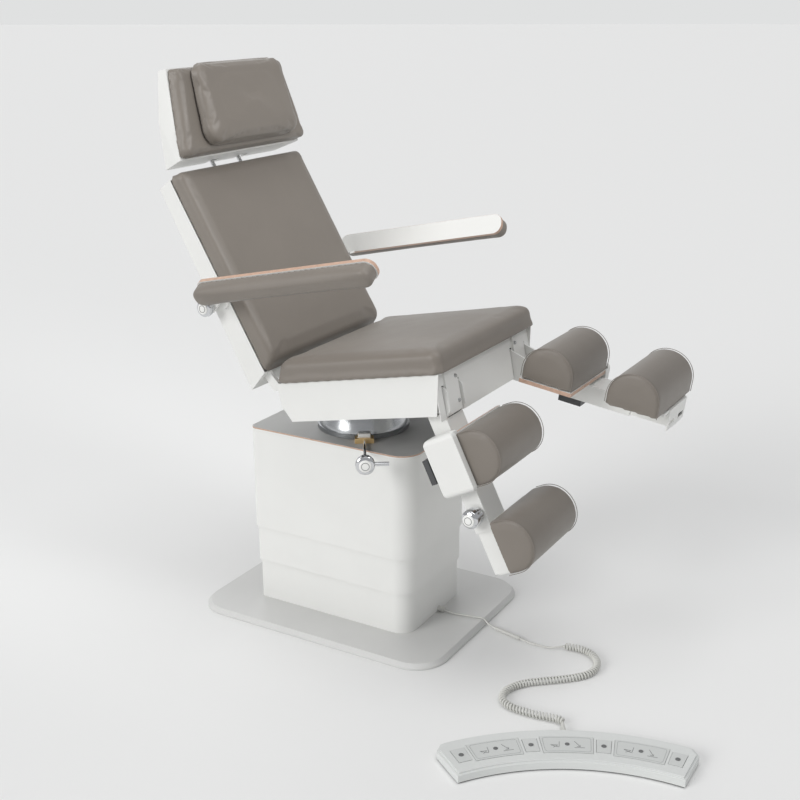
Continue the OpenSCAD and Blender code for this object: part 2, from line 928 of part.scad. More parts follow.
module leg_hinge_plates() {
    u = front_u + sheet_t;
    color(white) in_seat() both_sides() {
        box(u, u + plate_t, plate_y - plate_w/2, plate_y + plate_w/2, plate_low, plate_top);
        for (w = [plate_screw_w1, plate_screw_w2])
            translate([0, plate_y - plate_w * plate_screw_share, w]) cyl_x(plate_screw_r, u + plate_t, u + plate_t + plate_screw_t);
    }
}

module back_actuator() {
    top = -pan_top - pan_t;
    color(dark) in_seat() {
        difference() {
            translate([0, 0, rod_w]) union() {
                cyl_x(house_r, house_u0, house_u1);
                box(house_u1, house_u1 + gear_l, -gear_half, gear_half, -gear_half, gear_half);
            }
            translate([0, 0, rod_w]) cyl_x(rod_r + run_gap, house_u0 - over, house_bore_end);
        }
        box(house_u1, house_u1 + gear_l, -drive_mount_w, drive_mount_w, rod_w + gear_half, top);
        box(house_u0, house_u0 + gear_l/2, -drive_mount_w/2, drive_mount_w/2, rod_w + house_r - over, top);
        translate([0, 0, rod_w]) translate([0, drive_motor_r + gear_half - gear_half/2, 0])
            cyl_x(drive_motor_r, house_u1 + gear_l, house_u1 + gear_l + drive_motor_l);
    }
}

module back_rod() {
    pin_at = hinge_u - lever_l * sin(lever_back) + fork_shift;
    slot_half = lever_pin_r + fork_gap;
    color(chrome) in_seat() {
        difference() {
            union() {
                both_sides()
                    box(pin_at - fork_half, pin_at + fork_half, fork_y, fork_y + fork_t, fork_low, fork_high);
                box(pin_at + fork_half - over, pin_at + fork_half + fork_t, -fork_y - fork_t, fork_y + fork_t,
                    fork_low, rod_w + rod_r + fork_bridge);
            }
            box(pin_at - slot_half, pin_at + slot_half, -2*lever_pin_y, 2*lever_pin_y,
                fork_low + fork_t, fork_high - fork_t);
        }
        translate([0, 0, rod_w]) cyl_x(rod_r, pin_at + fork_half + fork_t, rod_end);
    }
}

// BACKREST

module back_frame() {
    color(dark) in_back() {
        both_sides() {
            across(arm_plate_y, arm_plate_y + arm_plate_t) union() {
                circle(r = hinge_r);
                polygon([
                    [hinge_r, 0], [shell_face - seat_gap, back_pad_z0],
                    [back_rail_x1, back_rail_z0], [back_rail_x1, back_rail_z1],
                    [back_rail_x0, back_rail_z1], [back_rail_x0, back_rail_z0], [-hinge_r, 0]
                ]);
            }
            arm_carrier();
            cyl_y(hinge_pin_r, torque_end(), arm_plate_y);
            translate([stem_x, stem_y, guide_z0]) stem_guide();
        }
        cyl_y(torque_r, -torque_end(), torque_end());
        box(back_rail_x0, back_rail_x0 + back_pan_t, -arm_plate_y, arm_plate_y, back_rail_z0, back_rail_z1);
        rotate([0, lever_back + back_lean, 0]) back_lever();
    }
}

function torque_end() = seat_ear_y - slide_gap;

module stem_guide() {
    h = back_rail_z1 - guide_z0;
    difference() {
        translate([back_rail_x0 - stem_x, -guide_half, 0]) cube([2*(stem_x - back_rail_x0), 2*guide_half, h]);
        translate([0, 0, -over]) cylinder(r = stem_r + run_gap, h = h + 2*over);
    }
}

// The plate outside the backrest's shell that carries an armrest's pivot
module arm_carrier() {
    y0 = shell_w/2 + seat_gap;
    translate([arm_mount_x, 0, arm_mount_z]) cyl_y(arm_stud_r, arm_plate_y, y0 + arm_carrier_t);
    across(y0, y0 + arm_carrier_t) union() {
        translate([arm_mount_x, arm_mount_z]) circle(r = arm_mount_r);
        polygon([
            [arm_mount_x, arm_mount_z + arm_mount_r], [arm_mount_x, arm_mount_z - arm_mount_r],
            [arm_pivot_x, arm_pivot_z - arm_collar_r], [arm_pivot_x, arm_pivot_z + arm_collar_r]
        ]);
    }
    translate([arm_pivot_x, 0, arm_pivot_z]) {
        cyl_y(arm_collar_r, y0, arm_bracket_y - seat_gap);
        cyl_y(arm_stud_r, y0, arm_bracket_y + arm_bracket_t);
        cyl_y(arm_thread_r, y0, arm_thread_y);
    }
}

module back_lever() {
    across(-lever_t, lever_t) union() {
        circle(r = hinge_r);
        translate([-lever_t, -lever_l]) square([2*lever_t, lever_l]);
        translate([0, -lever_l]) circle(r = lever_t);
    }
    translate([0, 0, -lever_l]) cyl_y(lever_pin_r, -lever_pin_y, lever_pin_y);
}

module shell_profile(t) {
    polygon([
        [shell_face + (t > 0 ? over : 0), shell_foot_front + t], [shell_face + (t > 0 ? over : 0), shell_top_front - t],
        [shell_top_x + t, shell_top_rear - t], [shell_face - back_shell_d + t, shell_foot_rear + t * shell_skew_share]
    ]);
}

module back_shell() {
    color(white) in_back() difference() {
        across(-shell_w/2, shell_w/2) shell_profile(0);
        across(-shell_w/2 + shell_wall, shell_w/2 - shell_wall) shell_profile(shell_wall);
        both_sides() {
            box(back_rail_x0 - over, hinge_r, arm_plate_y - over, arm_plate_y + arm_plate_t + over, 0, back_rail_z0);
            translate([arm_mount_x, 0, arm_mount_z]) cyl_y(arm_stud_r + slide_gap, arm_plate_y, shell_w/2 + over);
            translate([stem_x, stem_y, back_rail_z1]) cylinder(r = stem_r + slide_gap, h = shell_top_front);
        }
    }
}

module back_cushion() {
    color(taupe) in_back() translate([shell_face, 0, back_pad_z0]) rotate([0, 90, 0]) rotate([0, 0, 180])
        pad(0, back_l, cushion_w, cushion_w, back_pad_r, back_pad_edge,
            back_pad_t, back_pad_t, back_crown, back_pad_lean);
}

// HEADREST

module headrest_stems() {
    color(chrome) in_back() {
        both_sides() translate([stem_x, stem_y, stem_z0]) cylinder(r = stem_r, h = head_pin_z - stem_z0);
        translate([stem_x, 0, head_pin_z]) cyl_y(head_pin_r, -head_pin_half, head_pin_half);
    }
}

// Outline of the headrest seen from the front, drawn in by an inset
module head_outline(inset) {
    polygon([
        [-head_w/2 + inset, -wedge_drop], [head_w/2 - inset, -wedge_drop],
        [head_top_w/2 - inset, head_l - inset], [-head_top_w/2 + inset, head_l - inset]
    ]);
}

module headrest_shell() {
    rear = 2 * wedge_foot;
    color(white) in_head() difference() {
        union() {
            intersection() {
                across(-head_w/2, head_w/2) polygon([
                    [0, 0], [0, head_l - shell_wall], [-wedge_top, head_l - shell_wall],
                    [-wedge_foot, -wedge_drop]
                ]);
                translate([-rear, 0, 0]) rotate([90, 0, 90]) linear_extrude(2*rear) head_outline(shell_wall);
                translate([0, 0, -rear]) linear_extrude(head_l + 2*rear) polygon([
                    [0, head_w/2], [0, -head_w/2],
                    [-wedge_foot, -head_w/2 + wedge_in], [-wedge_foot, head_w/2 - wedge_in]
                ]);
            }
            translate([-head_x, 0, head_z]) cyl_y(head_block_r, -block_half, block_half);
        }
        translate([-head_x, 0, head_z]) cyl_y(head_pin_r + run_gap, -pocket_y1, pocket_y1);
        both_sides() box(-rear, -pocket_x, pocket_y0, pocket_y1, -2*wedge_drop, pocket_z);
    }
}

module headrest_cushion() {
    color(taupe) in_head() rotate([0, 90, 0]) rotate([0, 0, 180])
        pad(0, head_l, head_w, head_top_w, head_pad_r, head_pad_edge, head_pad_t, head_pad_t, -head_dish, 0);
}

module head_pillow() {
    rim = head_pad_t * edge_shares[len(edge_shares)-1][1] + seat_gap;
    color(taupe) in_head() translate([rim, 0, pillow_foot_z]) rotate([0, 90, 0]) rotate([0, 0, 180])
        pad(0, pillow_top_z - pillow_foot_z, pillow_foot_w, pillow_top_w, pillow_r, pillow_edge,
            pillow_t, pillow_t - pillow_fall, pillow_crown, 0);
}

// ARMRESTS

module in_arm_board() {
    translate([arm_x0 + arm_l/2, arm_mid_y, arm_mid_z]) rotate([arm_roll, 0, 0]) children();
}

module armrest(side) {
    low_y = arm_mid_y - arm_w/2 * cos(arm_roll) - arm_shelf_in;
    color(white) in_arm(side) difference() {
        union() {
            in_arm_board() linear_extrude(arm_board_t) rounded_outline(arm_l, arm_w, arm_plan_r, arm_plan_r);
            across(arm_bracket_y, arm_bracket_y + arm_bracket_t) union() {
                circle(r = arm_boss_r);
                polygon([
                    [arm_bracket_rear, arm_bracket_top], [arm_bracket_front, arm_bracket_top],
                    [arm_boss_r/2, -arm_boss_r * arm_boss_share], [-arm_boss_r, 0]
                ]);
            }
            box(arm_bracket_rear, arm_bracket_front, arm_bracket_y, low_y,
                arm_bracket_top - arm_shelf_t, arm_bracket_top);
        }
        cyl_y(arm_stud_r + run_gap, shell_w/2, arm_bracket_y + arm_bracket_t + over);
    }
}

pad_drawn_share = 1.5;       // how far the pad's top is drawn in, of its edge

module armrest_pad(side) {
    l = arm_l - 2*arm_pad_in;
    w = arm_w - 2*arm_pad_in;
    r = arm_plan_r - arm_pad_in;
    t = arm_pad_t - arm_pad_edge;
    arm_pad_drawn = arm_pad_edge * pad_drawn_share;
    color(taupe) in_arm(side) in_arm_board() rotate([180, 0, 0]) {
        linear_extrude(t) rounded_outline(l, w, r, r);
        translate([0, 0, t]) linear_extrude(arm_pad_edge / 2)
            rounded_outline(l - arm_pad_edge/2, w - arm_pad_edge/2, r, r);
        translate([0, 0, t + arm_pad_edge/2]) linear_extrude(arm_pad_edge / 2)
            rounded_outline(l - arm_pad_drawn, w - arm_pad_drawn, r - arm_pad_edge/2, r - arm_pad_edge/2);
    }
}

module armrest_knob(side) {
    y = arm_bracket_y + arm_bracket_t + seat_gap;
    color(chrome) in_arm(side) translate([0, y, 0]) rotate([-90, 0, 0])
        knob(arm_knob_r, arm_knob_t, arm_thread_r + run_gap, arm_thread_y - y + seat_gap);
}

// LEG SUPPORTS

tube_y1 = tube_y0 + leg_tube_w;
tube_rear = tube_face - leg_tube_t;

module leg_tube(side) {
    color(white) in_leg(side) difference() {
        union() {
            for (y = [tube_y0, tube_y1 - cheek_t])
                across(y, y + cheek_t) union() {
                    circle(r = cheek_r);
                    polygon([
                        [0, cheek_r], [cheek_brow_u, cheek_brow_n], [tube_start, tube_face],
                        [tube_start, tube_rear], [cheek_heel_u, tube_rear], [-cheek_r, 0]
                    ]);
                }
            box(tube_start, leg_tube_end, tube_y0, tube_y1, tube_rear, tube_face);
            box(saddle_u0, saddle_u1, tube_y0 + saddle_in, tube_y1 - saddle_in, tube_face, board_face - leg_board_t);
            box(calf_u0, calf_u0 + calf_l, pad_y0 + pad_gap, cover_y0 - pad_gap, board_face - leg_board_t, board_face);
            for (u = [cover_boss_u, cover_boss_2])
                translate([u, 0, cover_boss_n]) cyl_y(cover_boss_r, tube_y1, cover_y0);
            for (y = [lever_shank_y0 - lever_ear_t - seat_gap, lever_shank_y0 + lever_shank_t + seat_gap])
                lever_ear(y);
        }
        box(tube_start + tube_wall_l, leg_tube_end + over, tube_y0 + tube_wall_l, tube_y1 - tube_wall_l,
            tube_rear + tube_wall_l, tube_face - tube_wall_l);
        cyl_y(leg_pin_r + run_gap, 0, 2*tube_y1);
        translate([knob_u, 0, knob_n]) cyl_y(knob_stud_r + run_gap, tube_y1 - 2*tube_wall_l, tube_y1 + over);
    }
}

module lever_ear(y) {
    translate([lever_u, 0, 0]) difference() {
        across(y, y + lever_ear_t) union() {
            translate([0, lever_pivot_n]) circle(r = lever_ear_r);
            translate([-lever_ear_r, lever_pivot_n]) square([2*lever_ear_r, tube_rear - lever_pivot_n + over]);
        }
        translate([0, 0, lever_pivot_n]) cyl_y(lever_pivot_r + run_gap, 0, 2*tube_y1);
    }
}

module leg_cover(side) {
    color(white) in_leg(side) difference() {
        intersection() {
            across(cover_y0, cover_y1) translate([(cover_u0 + cover_u1)/2, (cover_n0 + cover_n1)/2])
                rounded_outline(cover_u1 - cover_u0, cover_n1 - cover_n0, cover_r, cover_r);
            translate([(cover_u0 + cover_u1)/2, cover_y0, cover_n0]) linear_extrude(cover_n1 - cover_n0)
                rounded_outline(cover_u1 - cover_u0, 2*(cover_y1 - cover_y0), cover_r, cover_r);
        }
        box(cover_u0 - over, cover_u1 + over, cover_y0 - over, calf_y1 + pad_gap, board_face - pad_gap, cover_n1 + over);
    }
}

// A half-round bolster lying on its flat side
module bolster(u0, l, y1) {
    r = l / 2;
    lift = leg_pad_h - r;
    across(pad_y0, y1) translate([u0 + r, board_face + pad_gap]) {
        intersection() {
            union() {
                translate([0, lift]) circle(r = r, $fn = 96);
                translate([-r, 0]) square([l, lift]);
            }
            translate([-r, 0]) square([l, leg_pad_h]);
        }
    }
}

module calf_cushion(side) {
    color(taupe) in_leg(side) bolster(calf_u0, calf_l, calf_y1);
}

module foot_slider(side) {
    g = tube_wall_l + slider_wall_gap;
    end = foot_u0 + foot_l;
    color(white) in_leg(side) {
        difference() {
            box(slider_u0, end, tube_y0 + g, tube_y1 - g, tube_rear + g, tube_face - g);
            box(slider_u0 - over, end + over, tube_y0 + g + slider_wall, tube_y1 - g - slider_wall,
                tube_rear + g + slider_wall, tube_face - g - slider_wall);
        }
        box(carrier_block_u, end, tube_y0 + g, tube_y1 - g, tube_face - g, board_face - carrier_t);
        box(carrier_u0, end, carrier_y0, carrier_y1, board_face - carrier_t, board_face);
        difference() {
            box(end, end + hook_plate_t, hook_y0, hook_y1, hook_n0, board_face);
            for (y = [hook_y0 + hook_slot_h, hook_y1 - hook_slot_h - hook_slot_w])
                box(end - over, end + hook_plate_t + over, y, y + hook_slot_w, hook_slot_n, hook_slot_n + hook_slot_h);
        }
    }
}

module foot_cushion(side) {
    color(taupe) in_leg(side) bolster(foot_u0, foot_l, foot_y1);
}

module leg_knob(side) {
    tip = tube_y1 - tube_wall_l - slider_wall_gap + seat_gap;
    color(chrome) in_leg(side) translate([knob_u, 0, knob_n]) {
        cyl_y(knob_stud_r, tip, knob_y + over);
        translate([0, knob_y, 0]) rotate([-90, 0, 0]) knob(leg_knob_r, knob_t, 0, 0);
    }
}

module leg_lever(side) {
    color(dark) in_leg(side) {
        across(lever_shank_y0, lever_shank_y0 + lever_shank_t) union() {
            translate([lever_u, lever_pivot_n]) circle(r = lever_ear_r - seat_gap);
            translate([lever_u - lever_ear_r/2, slab_n0 + slab_t - over])
                square([lever_ear_r, lever_pivot_n - slab_n0 - slab_t + over]);
        }
        translate([lever_u, 0, lever_pivot_n]) cyl_y(lever_pivot_r, lever_shank_y0 - lever_ear_t,
            lever_shank_y0 + lever_shank_t + lever_ear_t);
        box(slab_u0, slab_u1, slab_y0, slab_y1, slab_n0, slab_n0 + slab_t);
    }
}

// FOOT CONTROL

// A sector of a ring between two radii, deg wide, with its middle at angle a
module ring_sector(ri, ro, a, deg) {
    reach = 2 * ro;
    intersection() {
        difference() {
            circle(r = ro, $fn = 360);
            circle(r = ri, $fn = 360);
        }
        polygon([[0, 0], [reach * cos(a - deg/2), reach * sin(a - deg/2)], [reach * cos(a + deg/2), reach * sin(a + deg/2)]]);
    }
}

module control_outline(inset) {
    mid = (ctrl_a0 + ctrl_a1) / 2;
    deg = ctrl_a1 - ctrl_a0 - 2 * inset / ctrl_ri * 180 / PI;
    difference() {
        ring_sector(ctrl_ri + inset, ctrl_ro - inset, mid, deg);
        for (s = [-1, 1]) rotate(mid + s * deg/2) translate([ctrl_ro - inset - ctrl_chamfer, 0])
            rotate(-45 * s) translate([-ctrl_chamfer, s > 0 ? 0 : -2*ctrl_chamfer])
                square([4*ctrl_chamfer, 2*ctrl_chamfer]);
    }
}

function key_angle(i) = ctrl_mid + (4 - i) * ctrl_key_step;

module foot_housing() {
    key_top = ctrl_h;
    color(white) in_control() difference() {
        union() {
            translate([0, 0, ctrl_tray_t]) linear_extrude(ctrl_h - ctrl_tray_t - ctrl_lip) control_outline(0);
            translate([0, 0, ctrl_h - ctrl_lip]) linear_extrude(ctrl_lip) control_outline(ctrl_lip);
        }
        for (i = [1:2:7]) key_cut(key_angle(i), key_w, key_deg, key_travel + key_gap);
        for (i = [2:2:6]) key_cut(key_angle(i), rocker_w, rocker_deg, rocker_t);
    }
}

// A pocket in the housing's top, a little larger than its key
module key_cut(a, w, deg, depth) {
    g = key_gap;
    translate([0, 0, ctrl_h - depth - pocket_floor]) linear_extrude(depth + pocket_floor + over)
        ring_sector(ctrl_key_r - w/2 - g, ctrl_key_r + w/2 + g, a, deg + 2 * g / ctrl_key_r * 180 / PI);
}

module foot_tray() {
    color(dark) in_control() linear_extrude(ctrl_tray_t) control_outline(ctrl_wall);
}

module rocker(i) {
    a = key_angle(i);
    floor_z = ctrl_h - rocker_t - pocket_floor;
    color(white) in_control() {
        translate([0, 0, ctrl_h - rocker_t + rocker_proud]) linear_extrude(rocker_t)
            ring_sector(ctrl_key_r - rocker_w/2, ctrl_key_r + rocker_w/2, a, rocker_deg);
        rotate(a) translate([0, 0, ctrl_h - rocker_t + rocker_proud]) intersection() {
            cyl_x(pocket_floor + rocker_proud - seat_gap, ctrl_key_r - rocker_w/2, ctrl_key_r + rocker_w/2);
            box(ctrl_key_r - rocker_w, ctrl_key_r + rocker_w, -rocker_w, rocker_w, -rocker_w, over);
        }
        rotate(a) translate([ctrl_key_r, 0, ctrl_h + rocker_proud]) cylinder(r = dot_r, h = dot_t);
    }
}

module key(i) {
    a = key_angle(i);
    color(white) in_control() {
        translate([0, 0, ctrl_h - key_travel]) linear_extrude(key_travel + rocker_proud)
            ring_sector(ctrl_key_r - key_w/2, ctrl_key_r + key_w/2, a, key_deg);
        rotate(a) translate([ctrl_key_r, 0, ctrl_h + rocker_proud]) cylinder(r = dot_r, h = dot_t);
    }
}

// CORD

lead_points = [
    [268, 13, 24], [284, 14, 21.5], [305, 17, 19], [335, 23, 18.9], [365, 29, 18.9], [385, 32, 18.7],
    [400, 31, 7.5], [414, 27, 4.9], [430, 21, 4.9], [475, 10.5, 4.9], [520, 0, 4.9], [545, -3, 3.4],
    [570, -3, 3], [595, -2, 3], [612, 0, 5.5], [624, 4, 9], [632, 8, 10.3]
];
curly_points = [
    [632, 8, 10.3], [653, 19, 10.3], [690, 23, 10.3], [724, 11, 10.3], [749, -17, 10.3], [759, -54, 10.3],
    [751, -90, 10.3], [731, -118, 10.3], [700, -148, 10.3], [663, -179, 10.3], [636, -203, 10.3],
    [615, -230, 10.3], [603, -258, 10.3], [601, -285, 10.3], [609, -309, 10.3], [627, -325, 10.3],
    [652, -333, 10.3], [684, -334, 10.3], [718, -332, 10.3], [748, -327, 10.8], [770, -325, 11.5],
    [782, -330, 12], [788, -341, 12]
];

function unit(v) = v / norm(v);
function spline_point(a, b, c, d, t) =
    ((2*b) + (c - a)*t + (2*a - 5*b + 4*c - d)*t*t + (3*b - a - 3*c + d)*t*t*t) / 2;
function spline(p, steps) = let (n = len(p)) concat(
    [for (i = [0:n-2], k = [0:steps-1])
        spline_point(p[max(i-1, 0)], p[i], p[i+1], p[min(i+2, n-1)], k / steps)],
    [p[n-1]]);
function heading(p, i) = unit(p[min(i+1, len(p)-1)] - p[max(i-1, 0)]);
function travel(p, i = 0, sum = 0, out = []) = i == len(p) ? out
    : travel(p, i + 1, sum + (i + 1 < len(p) ? norm(p[i+1] - p[i]) : 0), concat(out, [sum]));

// A tube of given sides over rings, each ring a list of points
module ring_tube(rings, sides) {
    n = len(rings);
    points = [for (ring = rings) for (p = ring) p];
    faces = concat(
        [for (j = [0:n-2], i = [0:sides-1]) let (k = (i + 1) % sides) [j*sides + i, j*sides + k, (j+1)*sides + i]],
        [for (j = [0:n-2], i = [0:sides-1]) let (k = (i + 1) % sides) [j*sides + k, (j+1)*sides + k, (j+1)*sides + i]],
        [for (i = [1:sides-2]) [0, i + 1, i]],
        [for (i = [1:sides-2]) let (b = (n-1)*sides) [b, b + i, b + i + 1]]
    );
    polyhedron(points = points, faces = faces, convexity = 10);
}

lead_sides = 8;

module lead() {
    route = spline(lead_points, 3);
    color(cord_grey) ring_tube([
        for (i = [0:len(route)-1]) let (
            t = i == 0 ? unit([1, 0, 0]) : i == len(route)-1 ? heading(curly_points, 0) : heading(route, i),
            side = unit([-t[1], t[0], 0]), up = cross(t, side))
            [for (k = [0:lead_sides-1]) let (a = 360 * k / lead_sides)
                route[i] + lead_r * (cos(a) * side + sin(a) * up)]
    ], lead_sides);
}

curly_route = spline(curly_points, 6);
curly_travel = travel(curly_route);
curly_length = curly_travel[len(curly_travel)-1];
curl_rings = 8;
curly_sides = 6;
curly_lead = 7;      // straight wire at each end
curly_total = curls * curl_rings;

function along(s, c) = lookup(s, [for (i = [0:len(curly_route)-1]) [curly_travel[i], curly_route[i][c]]]);
function curly_axis(s) = [along(s, 0), along(s, 1), along(s, 2)];
function curly_heading(s) = unit(curly_axis(min(s + curly_lead/2, curly_length)) - curly_axis(max(s - curly_lead/2, 0)));
function curly_s(i) = curly_lead + (curly_length - 2*curly_lead) * i / curly_total;
// The curls open from the straight wire over one turn at each end
function curl_radius(i) = curl_arm * min(1, min(i, curly_total - i) / curl_rings);
function radial(s, i) = let (t = curly_heading(s), side = unit([-t[1], t[0], 0]), up = cross(t, side),
    a = 360 * i / curl_rings) cos(a) * side + sin(a) * up;
function wire_point(i) = let (s = curly_s(i)) curly_axis(s) + curl_radius(i) * radial(s, i);
wire = [for (i = [0:curly_total]) wire_point(i)];
function wire_ring(p, t, out) = let (e = unit(out - (out * t) * t), b = cross(t, e))
    [for (k = [0:curly_sides-1]) let (a = 360 * k / curly_sides) p + lead_r * (cos(a) * e + sin(a) * b)];

curly_gap = min([for (i = [0:len(wire)-1], j = [i + curl_rings - 2 : 1 : min(i + 2*curl_rings, len(wire) - 1)])
    norm(wire[j] - wire[i]) - 2*lead_r]);
echo(curly_gap = curly_gap, curly_length = curly_length);

module curly_cord() {
    start = heading(curly_points, 0);
    end = heading(curly_points, len(curly_points) - 1);
    color(cord_grey) ring_tube(concat(
        [wire_ring(curly_points[0], start, radial(0, 0))],
        [for (i = [0:len(wire)-1]) wire_ring(wire[i], heading(wire, i), radial(curly_s(i), i))],
        [wire_ring(curly_points[len(curly_points)-1], end, radial(curly_length, curly_total))]
    ), curly_sides);
}

module cord_fittings() {
    sleeve_at = lead_points[8];
    sleeve_to = lead_points[10];
    aim = atan2(sleeve_to[1] - sleeve_at[1], sleeve_to[0] - sleeve_at[0]);
    last = curly_points[len(curly_points)-1];
    relief_l = norm([last[0] - ctrl_x, last[1] - ctrl_y]) - ctrl_ro;
    color(pale_grey) {
        translate([col_l/2 - 2*cover_step, cable_hole_y, cable_hole_z]) {
            cyl_x(cable_hole_r, -fitting_l/2, over);
            cyl_x(fitting_r - over, 0, lead_points[0][0] - col_l/2 + 2*cover_step);
        }
        translate(sleeve_at) rotate([0, 0, aim]) difference() {
            cyl_x(sleeve_r, 0, sleeve_l);
            cyl_x(lead_r + sleeve_gap, -over, sleeve_l + over);
        }
        translate([last[0], last[1], relief_z]) rotate([0, 90, ctrl_mid + 180])
            cylinder(r1 = relief_r0, r2 = relief_r1, h = relief_l);
    }
}

// DRAWING

base_plate();
lower_cover();
lift_tube_outer();
lift_drive();
control_box();
cord_fittings();
lead();
curly_cord();
foot_housing();
foot_tray();
rocker(2);  // rocker_1
rocker(4);  // rocker_2
rocker(6);  // rocker_3
key(1);  // key_1
key(3);  // key_2
key(5);  // key_3
key(7);  // key_4
middle_cover();
lift_tube_middle();
upper_cover();
top_board();
lift_tube_inner();
turntable_base();
clamp_band();
clamp_block();
brake_spindle();
turret();
seat_frame();
seat_covers();
seat_cushion();
leg_hinge_plates();
back_actuator();
back_rod();
back_frame();
back_shell();
back_cushion();
headrest_stems();
headrest_shell();
headrest_cushion();
head_pillow();
armrest(1);  // armrest_left
armrest(-1);  // armrest_right
armrest_pad(1);  // armrest_pad_left
armrest_pad(-1);  // armrest_pad_right
armrest_knob(1);  // armrest_knob_left
armrest_knob(-1);  // armrest_knob_right
leg_tube(1);  // leg_tube_left
leg_cover(1);  // leg_cover_left
calf_cushion(1);  // calf_cushion_left
foot_slider(1);  // foot_slider_left
foot_cushion(1);  // foot_cushion_left
leg_knob(1);  // leg_knob_left
leg_lever(1);  // leg_lever_left
leg_tube(-1);  // leg_tube_right
leg_cover(-1);  // leg_cover_right
calf_cushion(-1);  // calf_cushion_right
foot_slider(-1);  // foot_slider_right
foot_cushion(-1);  // foot_cushion_right
leg_knob(-1);  // leg_knob_right
leg_lever(-1);  // leg_lever_right
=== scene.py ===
"""Podiatry chair on a lifting column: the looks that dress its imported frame.

Lengths are millimetres inside this file and become metres where a mesh is made. Each sub-assembly is a
class with its sizes as fields, each finish is a small class, and main() builds them in order.
"""

from __future__ import annotations

import json
import logging
import math
from dataclasses import dataclass, field
from enum import Enum
from typing import Callable, Iterable, Sequence

import bmesh
import bpy
from mathutils import Matrix, Vector, noise

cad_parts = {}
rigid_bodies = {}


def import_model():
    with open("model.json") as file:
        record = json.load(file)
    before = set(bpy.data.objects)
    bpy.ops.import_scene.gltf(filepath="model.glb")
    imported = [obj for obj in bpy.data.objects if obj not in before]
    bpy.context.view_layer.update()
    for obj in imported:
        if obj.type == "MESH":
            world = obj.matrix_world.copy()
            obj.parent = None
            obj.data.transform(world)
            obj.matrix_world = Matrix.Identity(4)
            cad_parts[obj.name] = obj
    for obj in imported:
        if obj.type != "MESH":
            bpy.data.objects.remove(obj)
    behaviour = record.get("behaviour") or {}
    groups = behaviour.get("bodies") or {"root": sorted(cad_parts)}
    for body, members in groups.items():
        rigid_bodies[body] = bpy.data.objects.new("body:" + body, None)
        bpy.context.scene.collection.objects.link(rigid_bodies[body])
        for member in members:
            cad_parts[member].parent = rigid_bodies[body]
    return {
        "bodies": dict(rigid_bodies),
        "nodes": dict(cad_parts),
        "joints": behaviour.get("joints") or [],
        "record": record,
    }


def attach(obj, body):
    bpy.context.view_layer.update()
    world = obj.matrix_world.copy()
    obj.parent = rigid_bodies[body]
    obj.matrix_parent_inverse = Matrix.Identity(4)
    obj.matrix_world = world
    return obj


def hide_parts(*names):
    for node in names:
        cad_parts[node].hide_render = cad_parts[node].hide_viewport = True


LOG = logging.getLogger("podiatry_chair")
MM = 0.001
# Metres: points nearer than this are one
WELD = 1e-6
# Millimetres: a turned shape's radius on its axis
LEAST_R = 0.01
Ring = list[Vector]
Values = dict[str | int, object]
Tree = bpy.types.NodeTree
Node = bpy.types.Node
Socket = bpy.types.NodeSocket


class Side(Enum):
    """The sitter's two sides. The value is the sign of Y."""

    LEFT = 1
    RIGHT = -1

    @property
    def tag(self) -> str:
        """The side's word in node and body names."""
        return self.name.lower()


# Frames


def turn(axis: str, degrees: float) -> Matrix:
    """A rotation about one of the axes X, Y and Z."""
    return Matrix.Rotation(math.radians(degrees), 4, axis)


def shift(x: float, y: float, z: float) -> Matrix:
    """A translation in millimetres."""
    return Matrix.Translation((x, y, z))


def mirrored(side: Side) -> Matrix:
    """The mirror in the chair's middle plane for the right side, and nothing for the left."""
    return Matrix.Diagonal((1, side.value, 1, 1))


@dataclass(frozen=True)
class Layout:
    """Where the sub-assemblies' own frames stand, in millimetres and degrees, at rest."""

    swivel_x: float = 10.0
    column_top: float = 549.0
    pin_up: float = 91.0
    pin_u: float = 81.0
    pin_w: float = 106.0
    seat_tilt: float = 11.6
    hinge_u: float = -16.5
    hinge_w: float = -9.4
    back_lean: float = 18.9
    stem_x: float = -12.0
    head_pin_z: float = 680.0
    head_lean: float = 15.8
    head_x: float = 79.4
    head_z: float = 22.2
    arm_x: float = -49.6
    arm_z: float = 266.5
    arm_drop: float = 18.4
    leg_u: float = 474.0
    leg_w: float = -58.3
    leg_drop_left: float = 19.6
    leg_drop_right: float = 75.3
    control_x: float = 1135.0
    control_y: float = -989.0
    brake_angle: float = -57.5

    def seat(self) -> Matrix:
        """The seat's frame: x along the seat, z square to it."""
        pivot = shift(self.swivel_x, 0, self.column_top + self.pin_up)
        return pivot @ turn("Y", -self.seat_tilt) @ shift(-self.pin_u, 0, self.pin_w)

    def back(self) -> Matrix:
        """The backrest's frame: x forward, z along the back."""
        return self.seat() @ shift(self.hinge_u, 0, self.hinge_w) @ turn("Y", -self.back_lean)

    def head(self) -> Matrix:
        """The headrest's frame: x forward, z along it, its foot at zero."""
        hinge = self.back() @ shift(self.stem_x, 0, self.head_pin_z) @ turn("Y", self.head_lean)
        return hinge @ shift(self.head_x, 0, -self.head_z)

    def arm(self, side: Side) -> Matrix:
        """An armrest's frame, its pivot at the origin."""
        return self.back() @ mirrored(side) @ shift(self.arm_x, 0, self.arm_z) @ turn("Y", self.arm_drop)

    def leg(self, side: Side) -> Matrix:
        """A leg support's frame: x along the leg, z towards its front."""
        drop = self.leg_drop_left if side is Side.LEFT else self.leg_drop_right
        return self.seat() @ mirrored(side) @ shift(self.leg_u, 0, self.leg_w) @ turn("Y", drop)

    def brake(self) -> Matrix:
        """The brake's frame: x out along its spindle."""
        return shift(self.swivel_x, 0, 0) @ turn("Z", self.brake_angle)

    def control(self) -> Matrix:
        """The foot control's frame, at the centre of its arc on the floor."""
        return shift(self.control_x, self.control_y, 0)


LAYOUT = Layout()


# Colours and nodes


